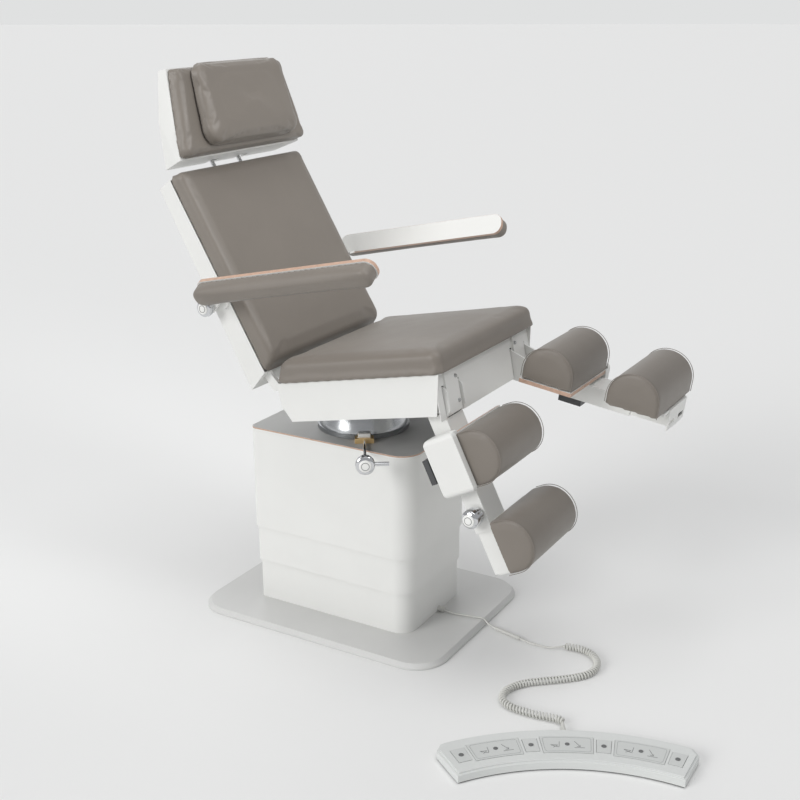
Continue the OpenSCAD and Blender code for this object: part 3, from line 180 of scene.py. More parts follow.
def linear(code: str) -> tuple[float, float, float, float]:
    """An sRGB hex colour as linear values.

    Args:
        code: six hex digits after a hash sign.

    Returns:
        Red, green, blue and an alpha of one.
    """
    parts = [int(code[i : i + 2], 16) / 255 for i in (1, 3, 5)]
    red, green, blue = (v / 12.92 if v <= 0.04045 else ((v + 0.055) / 1.055) ** 2.4 for v in parts)
    return red, green, blue, 1.0


def add(tree: Tree, kind: str, values: Values | None = None, links: Values | None = None) -> Node:
    """Adds one node with its settings and links.

    Args:
        tree: the node tree.
        kind: the node's type name.
        values: sockets or settings and what they are set to.
        links: sockets and the output socket that feeds each.

    Returns:
        The new node.
    """
    node = tree.nodes.new(kind)
    for key, value in (values or {}).items():
        if isinstance(key, str) and key not in node.inputs:
            setattr(node, key, value)
        else:
            node.inputs[key].default_value = value
    for key, source in (links or {}).items():
        tree.links.new(source, node.inputs[key])
    return node


def per_mm(size: float) -> float:
    """The texture scale whose features are that many millimetres, on coordinates in metres."""
    return 1 / (size * MM)


@dataclass(frozen=True)
class Finish:
    """A surface finish. Its pattern is drawn on object coordinates, in real sizes."""

    name: str
    colour: str
    roughness: float = 0.4
    metallic: float = 0.0
    mottle: float = 0.03
    mottle_mm: float = 140.0
    grain_mm: float = 0.0
    grain_depth: float = 0.0
    pebble_mm: float = 0.0
    pebble_depth: float = 0.0
    brushed: float = 0.0
    sheen: float = 0.0
    coat: float = 0.0
    specular: float = 0.5
    sheen_rough: float = 0.5
    coat_rough: float = 0.12
    mottle_stops: tuple[float, float] = (0.3, 0.7)
    smudge_mm: float = 60.0
    smudge_share: float = 0.12
    grain_strength: float = 0.6
    pebble_strength: float = 0.7
    pebble_smooth: float = 0.35

    def material(self) -> bpy.types.Material:
        """The finish's material, made once.

        Returns:
            The Blender material of this finish.
        """
        found = bpy.data.materials.get(self.name)
        if found:
            return found
        made = bpy.data.materials.new(self.name)
        made.use_nodes = True
        tree = made.node_tree
        tree.nodes.clear()
        place = add(tree, "ShaderNodeTexCoord").outputs["Object"]
        shader = add(
            tree,
            "ShaderNodeBsdfPrincipled",
            {
                "Metallic": self.metallic,
                "Specular IOR Level": self.specular,
                "Sheen Weight": self.sheen,
                "Sheen Roughness": self.sheen_rough,
                "Coat Weight": self.coat,
                "Coat Roughness": self.coat_rough,
            },
        )
        self._colour(tree, place, shader)
        self._surface(tree, place, shader)
        add(tree, "ShaderNodeOutputMaterial", links={"Surface": shader.outputs["BSDF"]})
        made.diffuse_color = linear(self.colour)
        return made

    def _colour(self, tree: Tree, place: Socket, shader: Node) -> None:
        """Mottles the colour a little, as batches, dust and handling do."""
        cloud = add(
            tree,
            "ShaderNodeTexNoise",
            {"Scale": per_mm(self.mottle_mm), "Detail": 4.0, "Roughness": 0.6},
            {"Vector": place},
        )
        ramp = add(tree, "ShaderNodeValToRGB", links={"Fac": cloud.outputs["Fac"]})
        base = linear(self.colour)
        factors = (1 - self.mottle, 1 + self.mottle)
        for stop, at, factor in zip(ramp.color_ramp.elements, self.mottle_stops, factors):
            stop.position = at
            stop.color = (*(min(1.0, c * factor) for c in base[:3]), 1.0)
        tree.links.new(ramp.outputs["Color"], shader.inputs["Base Color"])

    def _surface(self, tree: Tree, place: Socket, shader: Node) -> None:
        """Adds the roughness variation and the bumps of this finish."""
        patches = {"Scale": per_mm(self.smudge_mm), "Detail": 3.0}
        smudge = add(tree, "ShaderNodeTexNoise", patches, {"Vector": place})
        rough = add(
            tree,
            "ShaderNodeMapRange",
            {
                "To Min": self.roughness * (1 - self.smudge_share),
                "To Max": min(1.0, self.roughness * (1 + self.smudge_share)),
            },
            {"Value": smudge.outputs["Fac"]},
        )
        tree.links.new(rough.outputs["Result"], shader.inputs["Roughness"])
        normal = None
        if self.grain_mm:
            if self.brushed:
                stretch = {"Scale": (1.0, 1.0, self.brushed)}
                place = add(tree, "ShaderNodeMapping", stretch, {"Vector": place}).outputs[0]
            grain = {"Scale": per_mm(self.grain_mm), "Detail": 2.0}
            fine = add(tree, "ShaderNodeTexNoise", grain, {"Vector": place})
            normal = add(
                tree,
                "ShaderNodeBump",
                {"Strength": self.grain_strength, "Distance": self.grain_depth * MM},
                {"Height": fine.outputs["Fac"]},
            ).outputs["Normal"]
        if self.pebble_mm:
            cells = add(
                tree,
                "ShaderNodeTexVoronoi",
                {"feature": "SMOOTH_F1", "Scale": per_mm(self.pebble_mm), "Smoothness": self.pebble_smooth},
                {"Vector": place},
            )
            links: Values = {"Height": cells.outputs["Distance"]}
            if normal:
                links["Normal"] = normal
            bump = {"Strength": self.pebble_strength, "Distance": self.pebble_depth * MM, "invert": True}
            normal = add(tree, "ShaderNodeBump", bump, links).outputs["Normal"]
        if normal:
            tree.links.new(normal, shader.inputs["Normal"])


# Powder-coated sheet steel, satin: fine orange peel, barely any gloss
COVER_WHITE = Finish("powder_coat_white", "#E6E6E3", 0.38, grain_mm=1.6, grain_depth=0.05, mottle=0.012)
FRAME_WHITE = Finish("powder_coat_white_frame", "#E6E6E3", 0.4, grain_mm=1.6, grain_depth=0.05, mottle=0.012)
BASE_GREY = Finish("powder_coat_pale_grey", "#D2D2D0", 0.42, grain_mm=1.6, grain_depth=0.06, mottle=0.015)
DARK_PAINT = Finish("enamel_dark_grey", "#3A3B3E", 0.45, grain_mm=1.2, grain_depth=0.04)
# High-pressure laminate: a dense mat surface
BOARD_TOP = Finish(
    "laminate_pale_grey", "#C6C6C4", 0.5, grain_mm=0.9, grain_depth=0.03, mottle=0.02, mottle_mm=30
)
# Beech edging strip under clear lacquer: long fibres along the edge
EDGE_WOOD = Finish(
    "beech_edging", "#C2A28E", 0.42, mottle=0.12, mottle_mm=9, grain_mm=2.2, grain_depth=0.06, coat=0.15
)
# Vinyl-coated cloth with an embossed leather grain, drawn a little coarse so that it shows
UPHOLSTERY = Finish(
    "vinyl_taupe", "#7C756D", 0.46, mottle=0.03, mottle_mm=170, grain_mm=7.0, grain_depth=0.1, pebble_mm=2.2,
    pebble_depth=0.12, sheen=0.12, specular=0.5,
)
WELT = Finish("vinyl_welt", "#827B74", 0.45, mottle=0.03, pebble_mm=1.6, pebble_depth=0.1)
STEEL = Finish("turned_steel", "#A3A5A7", 0.3, 1.0, grain_mm=1.5, grain_depth=0.02, brushed=12.0)
SATIN_STEEL = Finish("satin_steel", "#C2C4C6", 0.24, 1.0, grain_mm=1.5, grain_depth=0.02, brushed=10.0)
CHROME = Finish("chrome_plate", "#D9DADC", 0.08, 1.0, mottle=0.01)
BRASS = Finish("satin_brass", "#EBCB94", 0.34, 0.75, grain_mm=1.2, grain_depth=0.02)
KNOB_WHITE = Finish("moulded_white", "#EDEDEA", 0.28, mottle=0.01, coat=0.3)
CONTROL_SHELL = Finish("abs_pale_grey", "#D8DAD8", 0.36, grain_mm=0.8, grain_depth=0.03, mottle=0.01)
KEY_FACE = Finish("abs_key_grey", "#CDCFCD", 0.34, grain_mm=0.8, grain_depth=0.02, mottle=0.01)
DARK_MOULD = Finish("moulded_dark_grey", "#4A4B4C", 0.45, grain_mm=0.8, grain_depth=0.05)
MARK_GREY = Finish("inlaid_grey", "#6A6B6B", 0.5, mottle=0.02)
MARK_PALE = Finish("inlaid_pale_line", "#A9ACAB", 0.5, mottle=0.02)
CORD_JACKET = Finish(
    "pvc_jacket_grey", "#CFCFCA", 0.42, mottle=0.02, mottle_mm=40, grain_mm=0.8, grain_depth=0.02
)
FLOOR_PAINT = Finish("studio_floor_paint", "#EDEDEC", 0.8, mottle=0.0, specular=0.05)


# Meshes


@dataclass
class Form:
    """Faces collected in one local frame, in millimetres."""

    points: list[Vector] = field(default_factory=list)
    faces: list[list[int]] = field(default_factory=list)

    def loft(self, rings: Sequence[Ring], closed: bool = False) -> "Form":
        """Joins rings of equal length into a skin.

        Args:
            rings: the rings, each a closed loop of points.
            closed: whether the last ring joins the first, as on a band.

        Returns:
            This form.
        """
        start, count = len(self.points), len(rings[0])
        self.points += [Vector(p) for ring in rings for p in ring]
        pairs = [(j, j + 1) for j in range(len(rings) - 1)] + ([(len(rings) - 1, 0)] if closed else [])
        for a, b in ((start + j * count, start + k * count) for j, k in pairs):
            for i in range(count):
                k = (i + 1) % count
                self.faces.append([a + i, a + k, b + k, b + i])
        if not closed:
            self.faces.append([start + i for i in range(count)][::-1])
            self.faces.append([start + (len(rings) - 1) * count + i for i in range(count)])
        return self

    def band(self, outline: Ring, thick: float, proud: float, low: float, high: float) -> "Form":
        """A flat strip around an outline in the x-y plane.

        Args:
            outline: the edge that it lies on, counter-clockwise.
            thick: how far it reaches inwards.
            proud: how far it stands out.
            low: its lower edge.
            high: its upper edge.

        Returns:
            This form.
        """
        rings = [
            [Vector((*p.to_2d(), z)) for p in offset(outline, d)]
            for d, z in ((proud, low), (proud, high), (-thick, high), (-thick, low))
        ]
        return self.loft(rings, closed=True)

    def slab(self, outline: Ring, low: float, high: float, edge: float, steps: int = 4) -> "Form":
        """A plate over an outline in the x-y plane, its upper edge rounded.

        Args:
            outline: its plan, counter-clockwise.
            low: its underside.
            high: its top.
            edge: the radius of its upper edge.
            steps: how many faces the rounding has.

        Returns:
            This form.
        """
        rings = [[Vector((*p.to_2d(), low)) for p in outline]]
        for a in quarter_steps(steps):
            level = high - edge * (1 - math.sin(a))
            drawn = offset(outline, -edge * (1 - math.cos(a)))
            rings.append([Vector((*p.to_2d(), level)) for p in drawn])
        return self.loft(rings)

    def revolve(self, profile: Sequence[tuple[float, float]], sides: int = 48) -> "Form":
        """A turned shape about z.

        Args:
            profile: radius and height pairs from one end of the axis to the other.
            sides: how many faces go round.

        Returns:
            This form.
        """
        return self.loft([circle(max(r, LEAST_R), z, sides) for r, z in profile])

    def tube(self, path: Sequence[Vector], radius: float, sides: int) -> "Form":
        """A round tube along a path, with frames that don't twist.

        Args:
            path: the points of its middle line.
            radius: its radius.
            sides: how many faces go round.

        Returns:
            This form.
        """
        rings: list[Ring] = []
        side = Vector((0, 0, 1))
        for i, p in enumerate(path):
            ahead = (path[min(i + 1, len(path) - 1)] - path[max(i - 1, 0)]).normalized()
            side = (side - ahead * side.dot(ahead)).normalized()
            other = ahead.cross(side)
            rings.append([p + radius * (math.cos(a) * side + math.sin(a) * other) for a in circle_steps(sides)])
        return self.loft(rings)

    def build(self, name: str, frame: Matrix, finish: Finish, smooth: float = 35.0) -> bpy.types.Object:
        """Makes the object, its place in its mesh.

        Args:
            name: the piece's name.
            frame: from the local frame to the chair's.
            finish: what it is made of.
            smooth: edges that turn by less than this many degrees are shaded smooth.

        Returns:
            The new object.
        """
        mesh = bpy.data.meshes.new(name)
        mesh.from_pydata([MM * (frame @ p) for p in self.points], [], self.faces)
        work = bmesh.new()
        work.from_mesh(mesh)
        bmesh.ops.remove_doubles(work, verts=work.verts, dist=WELD)
        bmesh.ops.recalc_face_normals(work, faces=work.faces)
        for edge in work.edges:
            edge.smooth = len(edge.link_faces) == 2 and edge.calc_face_angle() < math.radians(smooth)
        for face in work.faces:
            face.smooth = True
        work.to_mesh(mesh)
        work.free()
        mesh.materials.append(finish.material())
        made = bpy.data.objects.new(name, mesh)
        bpy.context.scene.collection.objects.link(made)
        return made


def circle_steps(sides: int) -> list[float]:
    """Even angles round a circle."""
    return [2 * math.pi * k / sides for k in range(sides)]


def quarter_steps(steps: int) -> list[float]:
    """Even angles over a quarter turn, both ends with them."""
    return [math.pi / 2 * k / steps for k in range(steps + 1)]


def circle(radius: float, level: float, sides: int) -> Ring:
    """A level circle about z."""
    return [Vector((radius * math.cos(a), radius * math.sin(a), level)) for a in circle_steps(sides)]


def bake(shape: bpy.types.Object) -> None:
    """Turns an object with modifiers into a plain mesh."""
    bpy.context.view_layer.update()
    graph = bpy.context.evaluated_depsgraph_get()
    mesh = bpy.data.meshes.new_from_object(shape.evaluated_get(graph))
    shape.modifiers.clear()
    old, shape.data = shape.data, mesh
    bpy.data.meshes.remove(old)


def offset(outline: Ring, by: float) -> Ring:
    """A counter-clockwise outline in the x-y plane moved out by a distance, or in by a negative one."""
    moved = []
    for i, p in enumerate(outline):
        before, after = outline[i - 1], outline[(i + 1) % len(outline)]
        came, goes = (p - before).to_2d(), (after - p).to_2d()
        a = (came if came.length else goes).normalized()
        b = (goes if goes.length else came).normalized()
        normal = Vector((a.y + b.y, -a.x - b.x))
        scale = by / max(0.3, (1 + a.dot(b)) / 2) / 2
        moved.append(Vector((p.x + normal.x * scale, p.y + normal.y * scale, p.z)))
    return moved


def rounded(x0: float, x1: float, y0: float, y1: float, front: float, rear: float, steps: int = 8) -> Ring:
    """A rectangle with round corners in the x-y plane, counter-clockwise.

    Args:
        x0: rear edge.
        x1: front edge.
        y0: lower side.
        y1: upper side.
        front: radius of the two corners at x1.
        rear: radius of the two corners at x0.
        steps: faces to each corner.

    Returns:
        The outline's points.
    """
    ring = []
    for corner in range(4):
        r = front if corner in (0, 3) else rear
        cx = x1 - r if corner in (0, 3) else x0 + r
        cy = y1 - r if corner < 2 else y0 + r
        for k in range(steps + 1):
            a = math.pi / 2 * (corner + k / steps)
            ring.append(Vector((cx + r * math.cos(a), cy + r * math.sin(a), 0)))
    return ring


def sector(inner: float, outer: float, middle: float, wide: float, corner: float, steps: int = 14) -> Ring:
    """A piece of a flat ring with small round corners, counter-clockwise.

    Args:
        inner: its inner radius.
        outer: its outer radius.
        middle: the angle of its middle, in degrees.
        wide: the angle that it covers, in degrees.
        corner: radius of its corners.
        steps: points along each arc.

    Returns:
        The outline's points.
    """
    half_in, half_out = (math.radians(wide / 2) - corner / r for r in (inner, outer))
    mid = math.radians(middle)
    ring = [outer_point(outer, mid - half_out + 2 * half_out * k / steps) for k in range(steps + 1)]
    ring += [outer_point(outer - corner, mid + half_out + corner / outer)]
    ring += [outer_point(inner + corner, mid + half_in + corner / inner)]
    ring += [outer_point(inner, mid + half_in - 2 * half_in * k / steps) for k in range(steps + 1)]
    ring += [outer_point(inner + corner, mid - half_in - corner / inner)]
    ring += [outer_point(outer - corner, mid - half_out - corner / outer)]
    return ring


def outer_point(radius: float, angle: float) -> Vector:
    """The point at a radius and an angle in radians."""
    return Vector((radius * math.cos(angle), radius * math.sin(angle), 0))


# Geometry nodes


@dataclass
class Rule:
    """A Geometry Nodes tree that makes what repeats or follows a line."""

    name: str
    inputs: dict[str, tuple[str, float]]

    def tree(self, fill: Callable[[Tree, Node], Socket]) -> Tree:
        """Makes the tree once, with its named inputs.

        Args:
            fill: makes the nodes from the group's input node, and gives back the geometry socket.

        Returns:
            The node tree.
        """
        found = bpy.data.node_groups.get(self.name)
        if found:
            return found
        made = bpy.data.node_groups.new(self.name, "GeometryNodeTree")
        made.interface.new_socket("Geometry", in_out="INPUT", socket_type="NodeSocketGeometry")
        for label, (kind, value) in self.inputs.items():
            socket = made.interface.new_socket(label, in_out="INPUT", socket_type=kind)
            if kind != "NodeSocketMaterial":
                socket.default_value = value
        made.interface.new_socket("Geometry", in_out="OUTPUT", socket_type="NodeSocketGeometry")
        start = add(made, "NodeGroupInput")
        shape = fill(made, start)
        done = add(made, "GeometryNodeRealizeInstances", links={"Geometry": shape})
        painted = add(
            made,
            "GeometryNodeSetMaterial",
            links={"Geometry": done.outputs["Geometry"], "Material": start.outputs["Material"]},
        )
        add(made, "NodeGroupOutput", links={0: painted.outputs["Geometry"]})
        return made


FLOAT, PAINT = "NodeSocketFloat", ("NodeSocketMaterial", 0)
# Millimetres between the rings of a welt
WELT_STEP = 4.0
WELT_RULE = Rule("welt_rule", {"Radius": (FLOAT, 0.001), "Step": (FLOAT, 0.004), "Material": PAINT})
SCREW_RULE = Rule("screw_rule", {"Radius": (FLOAT, 0.004), "Height": (FLOAT, 0.002), "Material": PAINT})
SMOOTH_RULE = Rule("smooth_rule", {"Sharp Angle": (FLOAT, math.radians(32)), "Material": PAINT})


def set_inputs(modifier: bpy.types.Modifier, values: Values) -> None:
    """Sets a Geometry Nodes modifier's inputs by their names."""
    for item in modifier.node_group.interface.items_tree:
        if item.in_out == "INPUT" and item.name in values:
            modifier[item.identifier] = values[item.name]


def run_rule(carrier: bpy.types.Object, tree: Tree, values: Values) -> bpy.types.Object:
    """Runs a tree on a carrier and keeps the result as a plain mesh.

    Args:
        carrier: the object whose mesh the tree starts from.
        tree: the Geometry Nodes tree.
        values: the tree's named inputs.

    Returns:
        The same object with its new mesh.
    """
    modifier = carrier.modifiers.new(tree.name, "NODES")
    modifier.node_group = tree
    set_inputs(modifier, values)
    bake(carrier)
    return carrier


def carrier_of(name: str, points: Sequence[Vector], edges: Sequence[tuple[int, int]]) -> bpy.types.Object:
    """An object with loose points and edges for a tree to start from, given in metres."""
    mesh = bpy.data.meshes.new(name)
    mesh.from_pydata(list(points), list(edges), [])
    made = bpy.data.objects.new(name, mesh)
    bpy.context.scene.collection.objects.link(made)
    return made


def welt_nodes(tree: Tree, start: Node) -> Socket:
    """A round strip along the carrier's edges, as a sewn welt or a wire."""
    line = add(tree, "GeometryNodeMeshToCurve", links={"Mesh": start.outputs["Geometry"]})
    even = add(
        tree,
        "GeometryNodeResampleCurve",
        {"mode": "LENGTH"},
        {"Curve": line.outputs["Curve"], "Length": start.outputs["Step"]},
    )
    ring = add(
        tree, "GeometryNodeCurvePrimitiveCircle", {"Resolution": 8}, {"Radius": start.outputs["Radius"]}
    )
    skin = add(
        tree,
        "GeometryNodeCurveToMesh",
        {"Fill Caps": True},
        {"Curve": even.outputs["Curve"], "Profile Curve": ring.outputs["Curve"]},
    )
    return add(tree, "GeometryNodeSetShadeSmooth", links={0: skin.outputs["Mesh"]}).outputs[0]


def screw_nodes(tree: Tree, start: Node) -> Socket:
    """A low screw head with a hexagon socket on each of the carrier's points, along its stored direction."""
    head = add(
        tree,
        "GeometryNodeMeshCone",
        {"Vertices": 24, "Side Segments": 1},
        {"Radius Bottom": start.outputs["Radius"], "Depth": start.outputs["Height"]},
    )
    smaller = add(
        tree, "ShaderNodeMath", {"operation": "MULTIPLY", 1: 0.72}, {0: start.outputs["Radius"]}
    ).outputs["Value"]
    tree.links.new(smaller, head.inputs["Radius Top"])
    hexagon = add(
        tree,
        "ShaderNodeMath",
        {"operation": "MULTIPLY", 1: 0.46},
        {0: start.outputs["Radius"]},
    ).outputs["Value"]
    socket = add(
        tree,
        "GeometryNodeMeshCylinder",
        {"Vertices": 6},
        {"Radius": hexagon, "Depth": start.outputs["Height"]},
    )
    raised = add(tree, "ShaderNodeCombineXYZ", links={"Z": start.outputs["Height"]})
    cutter = add(
        tree,
        "GeometryNodeTransform",
        links={"Geometry": socket.outputs["Mesh"], "Translation": raised.outputs[0]},
    )
    cut = add(tree, "GeometryNodeMeshBoolean", {"operation": "DIFFERENCE"})
    tree.links.new(head.outputs["Mesh"], cut.inputs[0])
    tree.links.new(cutter.outputs["Geometry"], cut.inputs[1])
    aim = add(tree, "GeometryNodeInputNamedAttribute", {"data_type": "FLOAT_VECTOR", "Name": "aim"})
    turned = add(tree, "FunctionNodeAlignRotationToVector", {"axis": "Z"}, {"Vector": aim.outputs["Attribute"]})
    placed = add(
        tree,
        "GeometryNodeInstanceOnPoints",
        links={
            "Points": start.outputs["Geometry"],
            "Instance": cut.outputs["Mesh"],
            "Rotation": turned.outputs["Rotation"],
        },
    )
    return placed.outputs["Instances"]


def welt(
    name: str, path: Ring, frame: Matrix, radius: float, finish: Finish, loop: bool = True
) -> bpy.types.Object:
    """A thin round strip along a line.

    Args:
        name: the piece's name.
        path: the line in its local frame, in millimetres.
        frame: from the local frame to the chair's.
        radius: the strip's radius.
        finish: what it is made of.
        loop: whether the line closes.

    Returns:
        The new object.
    """
    count = len(path)
    edges = [(i, (i + 1) % count) for i in range(count if loop else count - 1)]
    made = carrier_of(name, [MM * (frame @ p) for p in path], edges)
    values = {"Radius": radius * MM, "Step": WELT_STEP * MM, "Material": finish.material()}
    return run_rule(made, WELT_RULE.tree(welt_nodes), values)


def screws(
    name: str, spots: Sequence[tuple[Vector, Vector]], frame: Matrix, radius: float, height: float, finish: Finish
) -> bpy.types.Object:
    """Screw heads at given places.

    Args:
        name: the piece's name.
        spots: the place and direction of each head, in its local frame.
        frame: from the local frame to the chair's.
        radius: the heads' radius.
        height: their height.
        finish: what they are made of.

    Returns:
        The new object.
    """
    made = carrier_of(name, [MM * (frame @ p) for p, _ in spots], [])
    aim = made.data.attributes.new("aim", "FLOAT_VECTOR", "POINT")
    turned = frame.to_3x3()
    for i, (_, way) in enumerate(spots):
        aim.data[i].vector = (turned @ way).normalized()
    values = {"Radius": radius * MM, "Height": height * MM, "Material": finish.material()}
    return run_rule(made, SCREW_RULE.tree(screw_nodes), values)


def smooth_nodes(tree: Tree, start: Node) -> Socket:
    """Joins a carried-over mesh's loose triangles, and shades its shallow edges smooth."""
    plain = add(
        tree,
        "GeometryNodeRemoveAttribute",
        {"Name": "custom_normal"},
        {"Geometry": start.outputs["Geometry"]},
    )
    joined = add(
        tree, "GeometryNodeMergeByDistance", {"Distance": 0.00001}, {"Geometry": plain.outputs["Geometry"]}
    )
    faces = add(tree, "GeometryNodeSetShadeSmooth", links={0: joined.outputs["Geometry"]})
    angle = add(tree, "GeometryNodeInputMeshEdgeAngle")
    shallow = add(
        tree,
        "FunctionNodeCompare",
        {"data_type": "FLOAT", "operation": "LESS_THAN"},
        {0: angle.outputs["Unsigned Angle"], 1: start.outputs["Sharp Angle"]},
    )
    return add(
        tree,
        "GeometryNodeSetShadeSmooth",
        {"domain": "EDGE"},
        {0: faces.outputs[0], "Shade Smooth": shallow.outputs["Result"]},
    ).outputs[0]


def dress(node: str, finish: Finish, edge: float = 0.8) -> bpy.types.Object:
    """Gives a carried-over CAD node its finish, smooth shading and eased edges. Its mesh stays as it is.

    Args:
        node: the node's name.
        finish: what it is made of.
        edge: how far its sharp edges are eased, or zero.

    Returns:
        The node's object.
    """
    piece = NODES[node]
    piece.data.materials.clear()
    piece.data.materials.append(finish.material())
    modifier = piece.modifiers.new("joined", "NODES")
    modifier.node_group = SMOOTH_RULE.tree(smooth_nodes)
    set_inputs(modifier, {"Material": finish.material()})
    if edge:
        bevel = piece.modifiers.new("eased", "BEVEL")
        bevel.width = edge * MM
        bevel.segments = 2
        bevel.limit_method = "ANGLE"
        bevel.angle_limit = math.radians(40)
        bevel.use_clamp_overlap = True
        bevel.harden_normals = True
    LOG.info("dressed %s in %s", node, finish.name)
    return piece


def settle(piece: bpy.types.Object, body: str, slot: str, *nodes: str) -> bpy.types.Object:
    """Puts a new piece on its body and hides the nodes that it stands for.

    Args:
        piece: the piece.
        body: the body that it rides on.
        slot: the record's material slot; not used.
        nodes: the CAD nodes that it replaces.

    Returns:
        The piece.
    """
    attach(piece, body)
    if nodes:
        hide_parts(*nodes)
    LOG.info("made %s on %s", piece.name, body)
    return piece


NODES: dict[str, bpy.types.Object] = {}


# Upholstery


# Shares of the edge radius and of the side height, from the seam up over the rounded edge
EDGE_SHARES = ((0.12, 0), (0, 0.1), (0.08, 0.36), (0.05, 0.62), (0.22, 0.84), (0.62, 0.97), (1.25, 1.02))
# Shares of the half width drawn in, and of the crown's rise
CROWN_SHARES = ((0.2, 0.32), (0.42, 0.7), (0.68, 0.93), (0.9, 1))


@dataclass(frozen=True)
class Pad:
    """A cushion's form on the x-y plane: its sides drawn in, its edge rounded and its top crowned."""

    x0: float
    x1: float
    w0: float
    w1: float
    corner: float
    edge: float
    h0: float
    h1: float
    crown: float
    lean: float = 0.0

    def rings(self) -> list[Ring]:
        """The form's rings from its seam to the middle of its top."""
        half = self.w0 / 2
        shares = smooth_shares(EDGE_SHARES, 3)
        made = []
        for inset, rise in shares:
            i = self.edge * inset
            made.append(
                self._ring(self.x0 + i + self.lean * rise, self.x1 - i, self.w0 / 2 - i, self.w1 / 2 - i,
                           max(self.corner - i, self.corner / 3), self.h0 * rise, self.h1 * rise)
            )
        for inset, rise in smooth_shares(CROWN_SHARES, 2):
            i = self.edge + (half - self.edge) * inset
            k = (self.x1 - self.x0 - self.lean) / self.w0
            made.append(
                self._ring(self.x0 + i * k + self.lean, self.x1 - i * k, self.w0 / 2 - i,
                           self.w1 / 2 - i * self.w1 / self.w0, (half - i) / 3, self.h0 + self.crown * rise,
                           self.h1 + self.crown * rise)
            )
        return made

    def _ring(self, x0: float, x1: float, y0: float, y1: float, r: float, z0: float, z1: float) -> Ring:
        """One outline with half widths y0 and y1 and heights z0 and z1 at its two ends."""
        ring = []
        steps = 8
        for corner in range(4):
            front = corner in (0, 3)
            for k in range(steps + 1):
                a = math.pi / 2 * (corner + k / steps)
                x = (x1 - r if front else x0 + r) + r * math.cos(a)
                y = (1 if corner < 2 else -1) * ((y1 if front else y0) - r) + r * math.sin(a)
                ring.append(Vector((x, y, z0 + (z1 - z0) * (x - x0) / (x1 - x0))))
        return ring


def smooth_shares(shares: Sequence[tuple[float, float]], steps: int) -> list[tuple[float, float]]:
    """The pairs again with steps between each two, on a smooth curve through them."""
    made = []
    last = len(shares) - 1
    for i in range(last):
        a, b, c, d = (Vector(shares[min(max(i + k, 0), last)]) for k in (-1, 0, 1, 2))
        for s in range(steps):
            made.append(tuple(through(a, b, c, d, s / steps)))
    return [*made, tuple(shares[last])]


def through(a: Vector, b: Vector, c: Vector, d: Vector, t: float) -> Vector:
    """A point between b and c on the smooth curve through a, b, c and d."""
    return (2 * b + (c - a) * t + (2 * a - 5 * b + 4 * c - d) * t**2 + (3 * b - a - 3 * c + d) * t**3) / 2


@dataclass(frozen=True)
class Bolster:
    """A half-round bolster that lies on its flat side, across the leg."""

    u0: float
    long: float
    y0: float
    y1: float
    seat: float = 8.3
    high: float = 103.0
    edge: float = 9.0
    puff: float = 2.2
    spans: int = 12
    arch: int = 24

    def profile(self, inset: float, swell: float) -> Ring:
        """The arch at one station, drawn in by inset and swollen by swell at its crown."""
        r = self.long / 2
        mid = self.u0 + r
        lift = self.high - r
        ring = [Vector((mid - r + inset, 0, self.seat)), Vector((mid + r - inset, 0, self.seat))]
        ring += [Vector((mid + r - inset, 0, self.seat + lift * k / 4)) for k in (1, 2, 3)]
        for k in range(self.arch + 1):
            a = math.pi * k / self.arch
            reach = r - inset + swell * math.sin(a)
            ring.append(Vector((mid + (r - inset) * math.cos(a), 0, self.seat + lift + reach * math.sin(a))))
        ring += [Vector((mid - r + inset, 0, self.seat + lift * k / 4)) for k in (3, 2, 1)]
        return ring

    def rings(self) -> list[Ring]:
        """The bolster's rings from one end face to the other."""
        wide = self.y1 - self.y0
        ends = [
            (self.y0 + self.edge * (1 - math.cos(a)), self.edge * (1 - math.sin(a))) for a in quarter_steps(5)
        ]
        middle = [(self.y0 + wide * k / self.spans, 0.0) for k in range(1, self.spans)]
        tail = [(self.y0 + self.y1 - y, inset) for y, inset in reversed(ends)]
        made = []
        for y, inset in [*ends, *middle, *tail]:
            share = 2 * abs(y - (self.y0 + self.y1) / 2) / wide
            ring = self.profile(inset, -self.puff * share**2)
            made.append([Vector((p.x, y, p.z)) for p in ring])
        return made


@dataclass(frozen=True)
class Cloth:
    """How the vinyl skin behaves while it swells."""

    quality: int = 4
    mass: float = 0.5
    tension: float = 25.0
    bending: float = 4.0
    pressure: float = 4.0
    frames: int = 20


VINYL = Cloth()


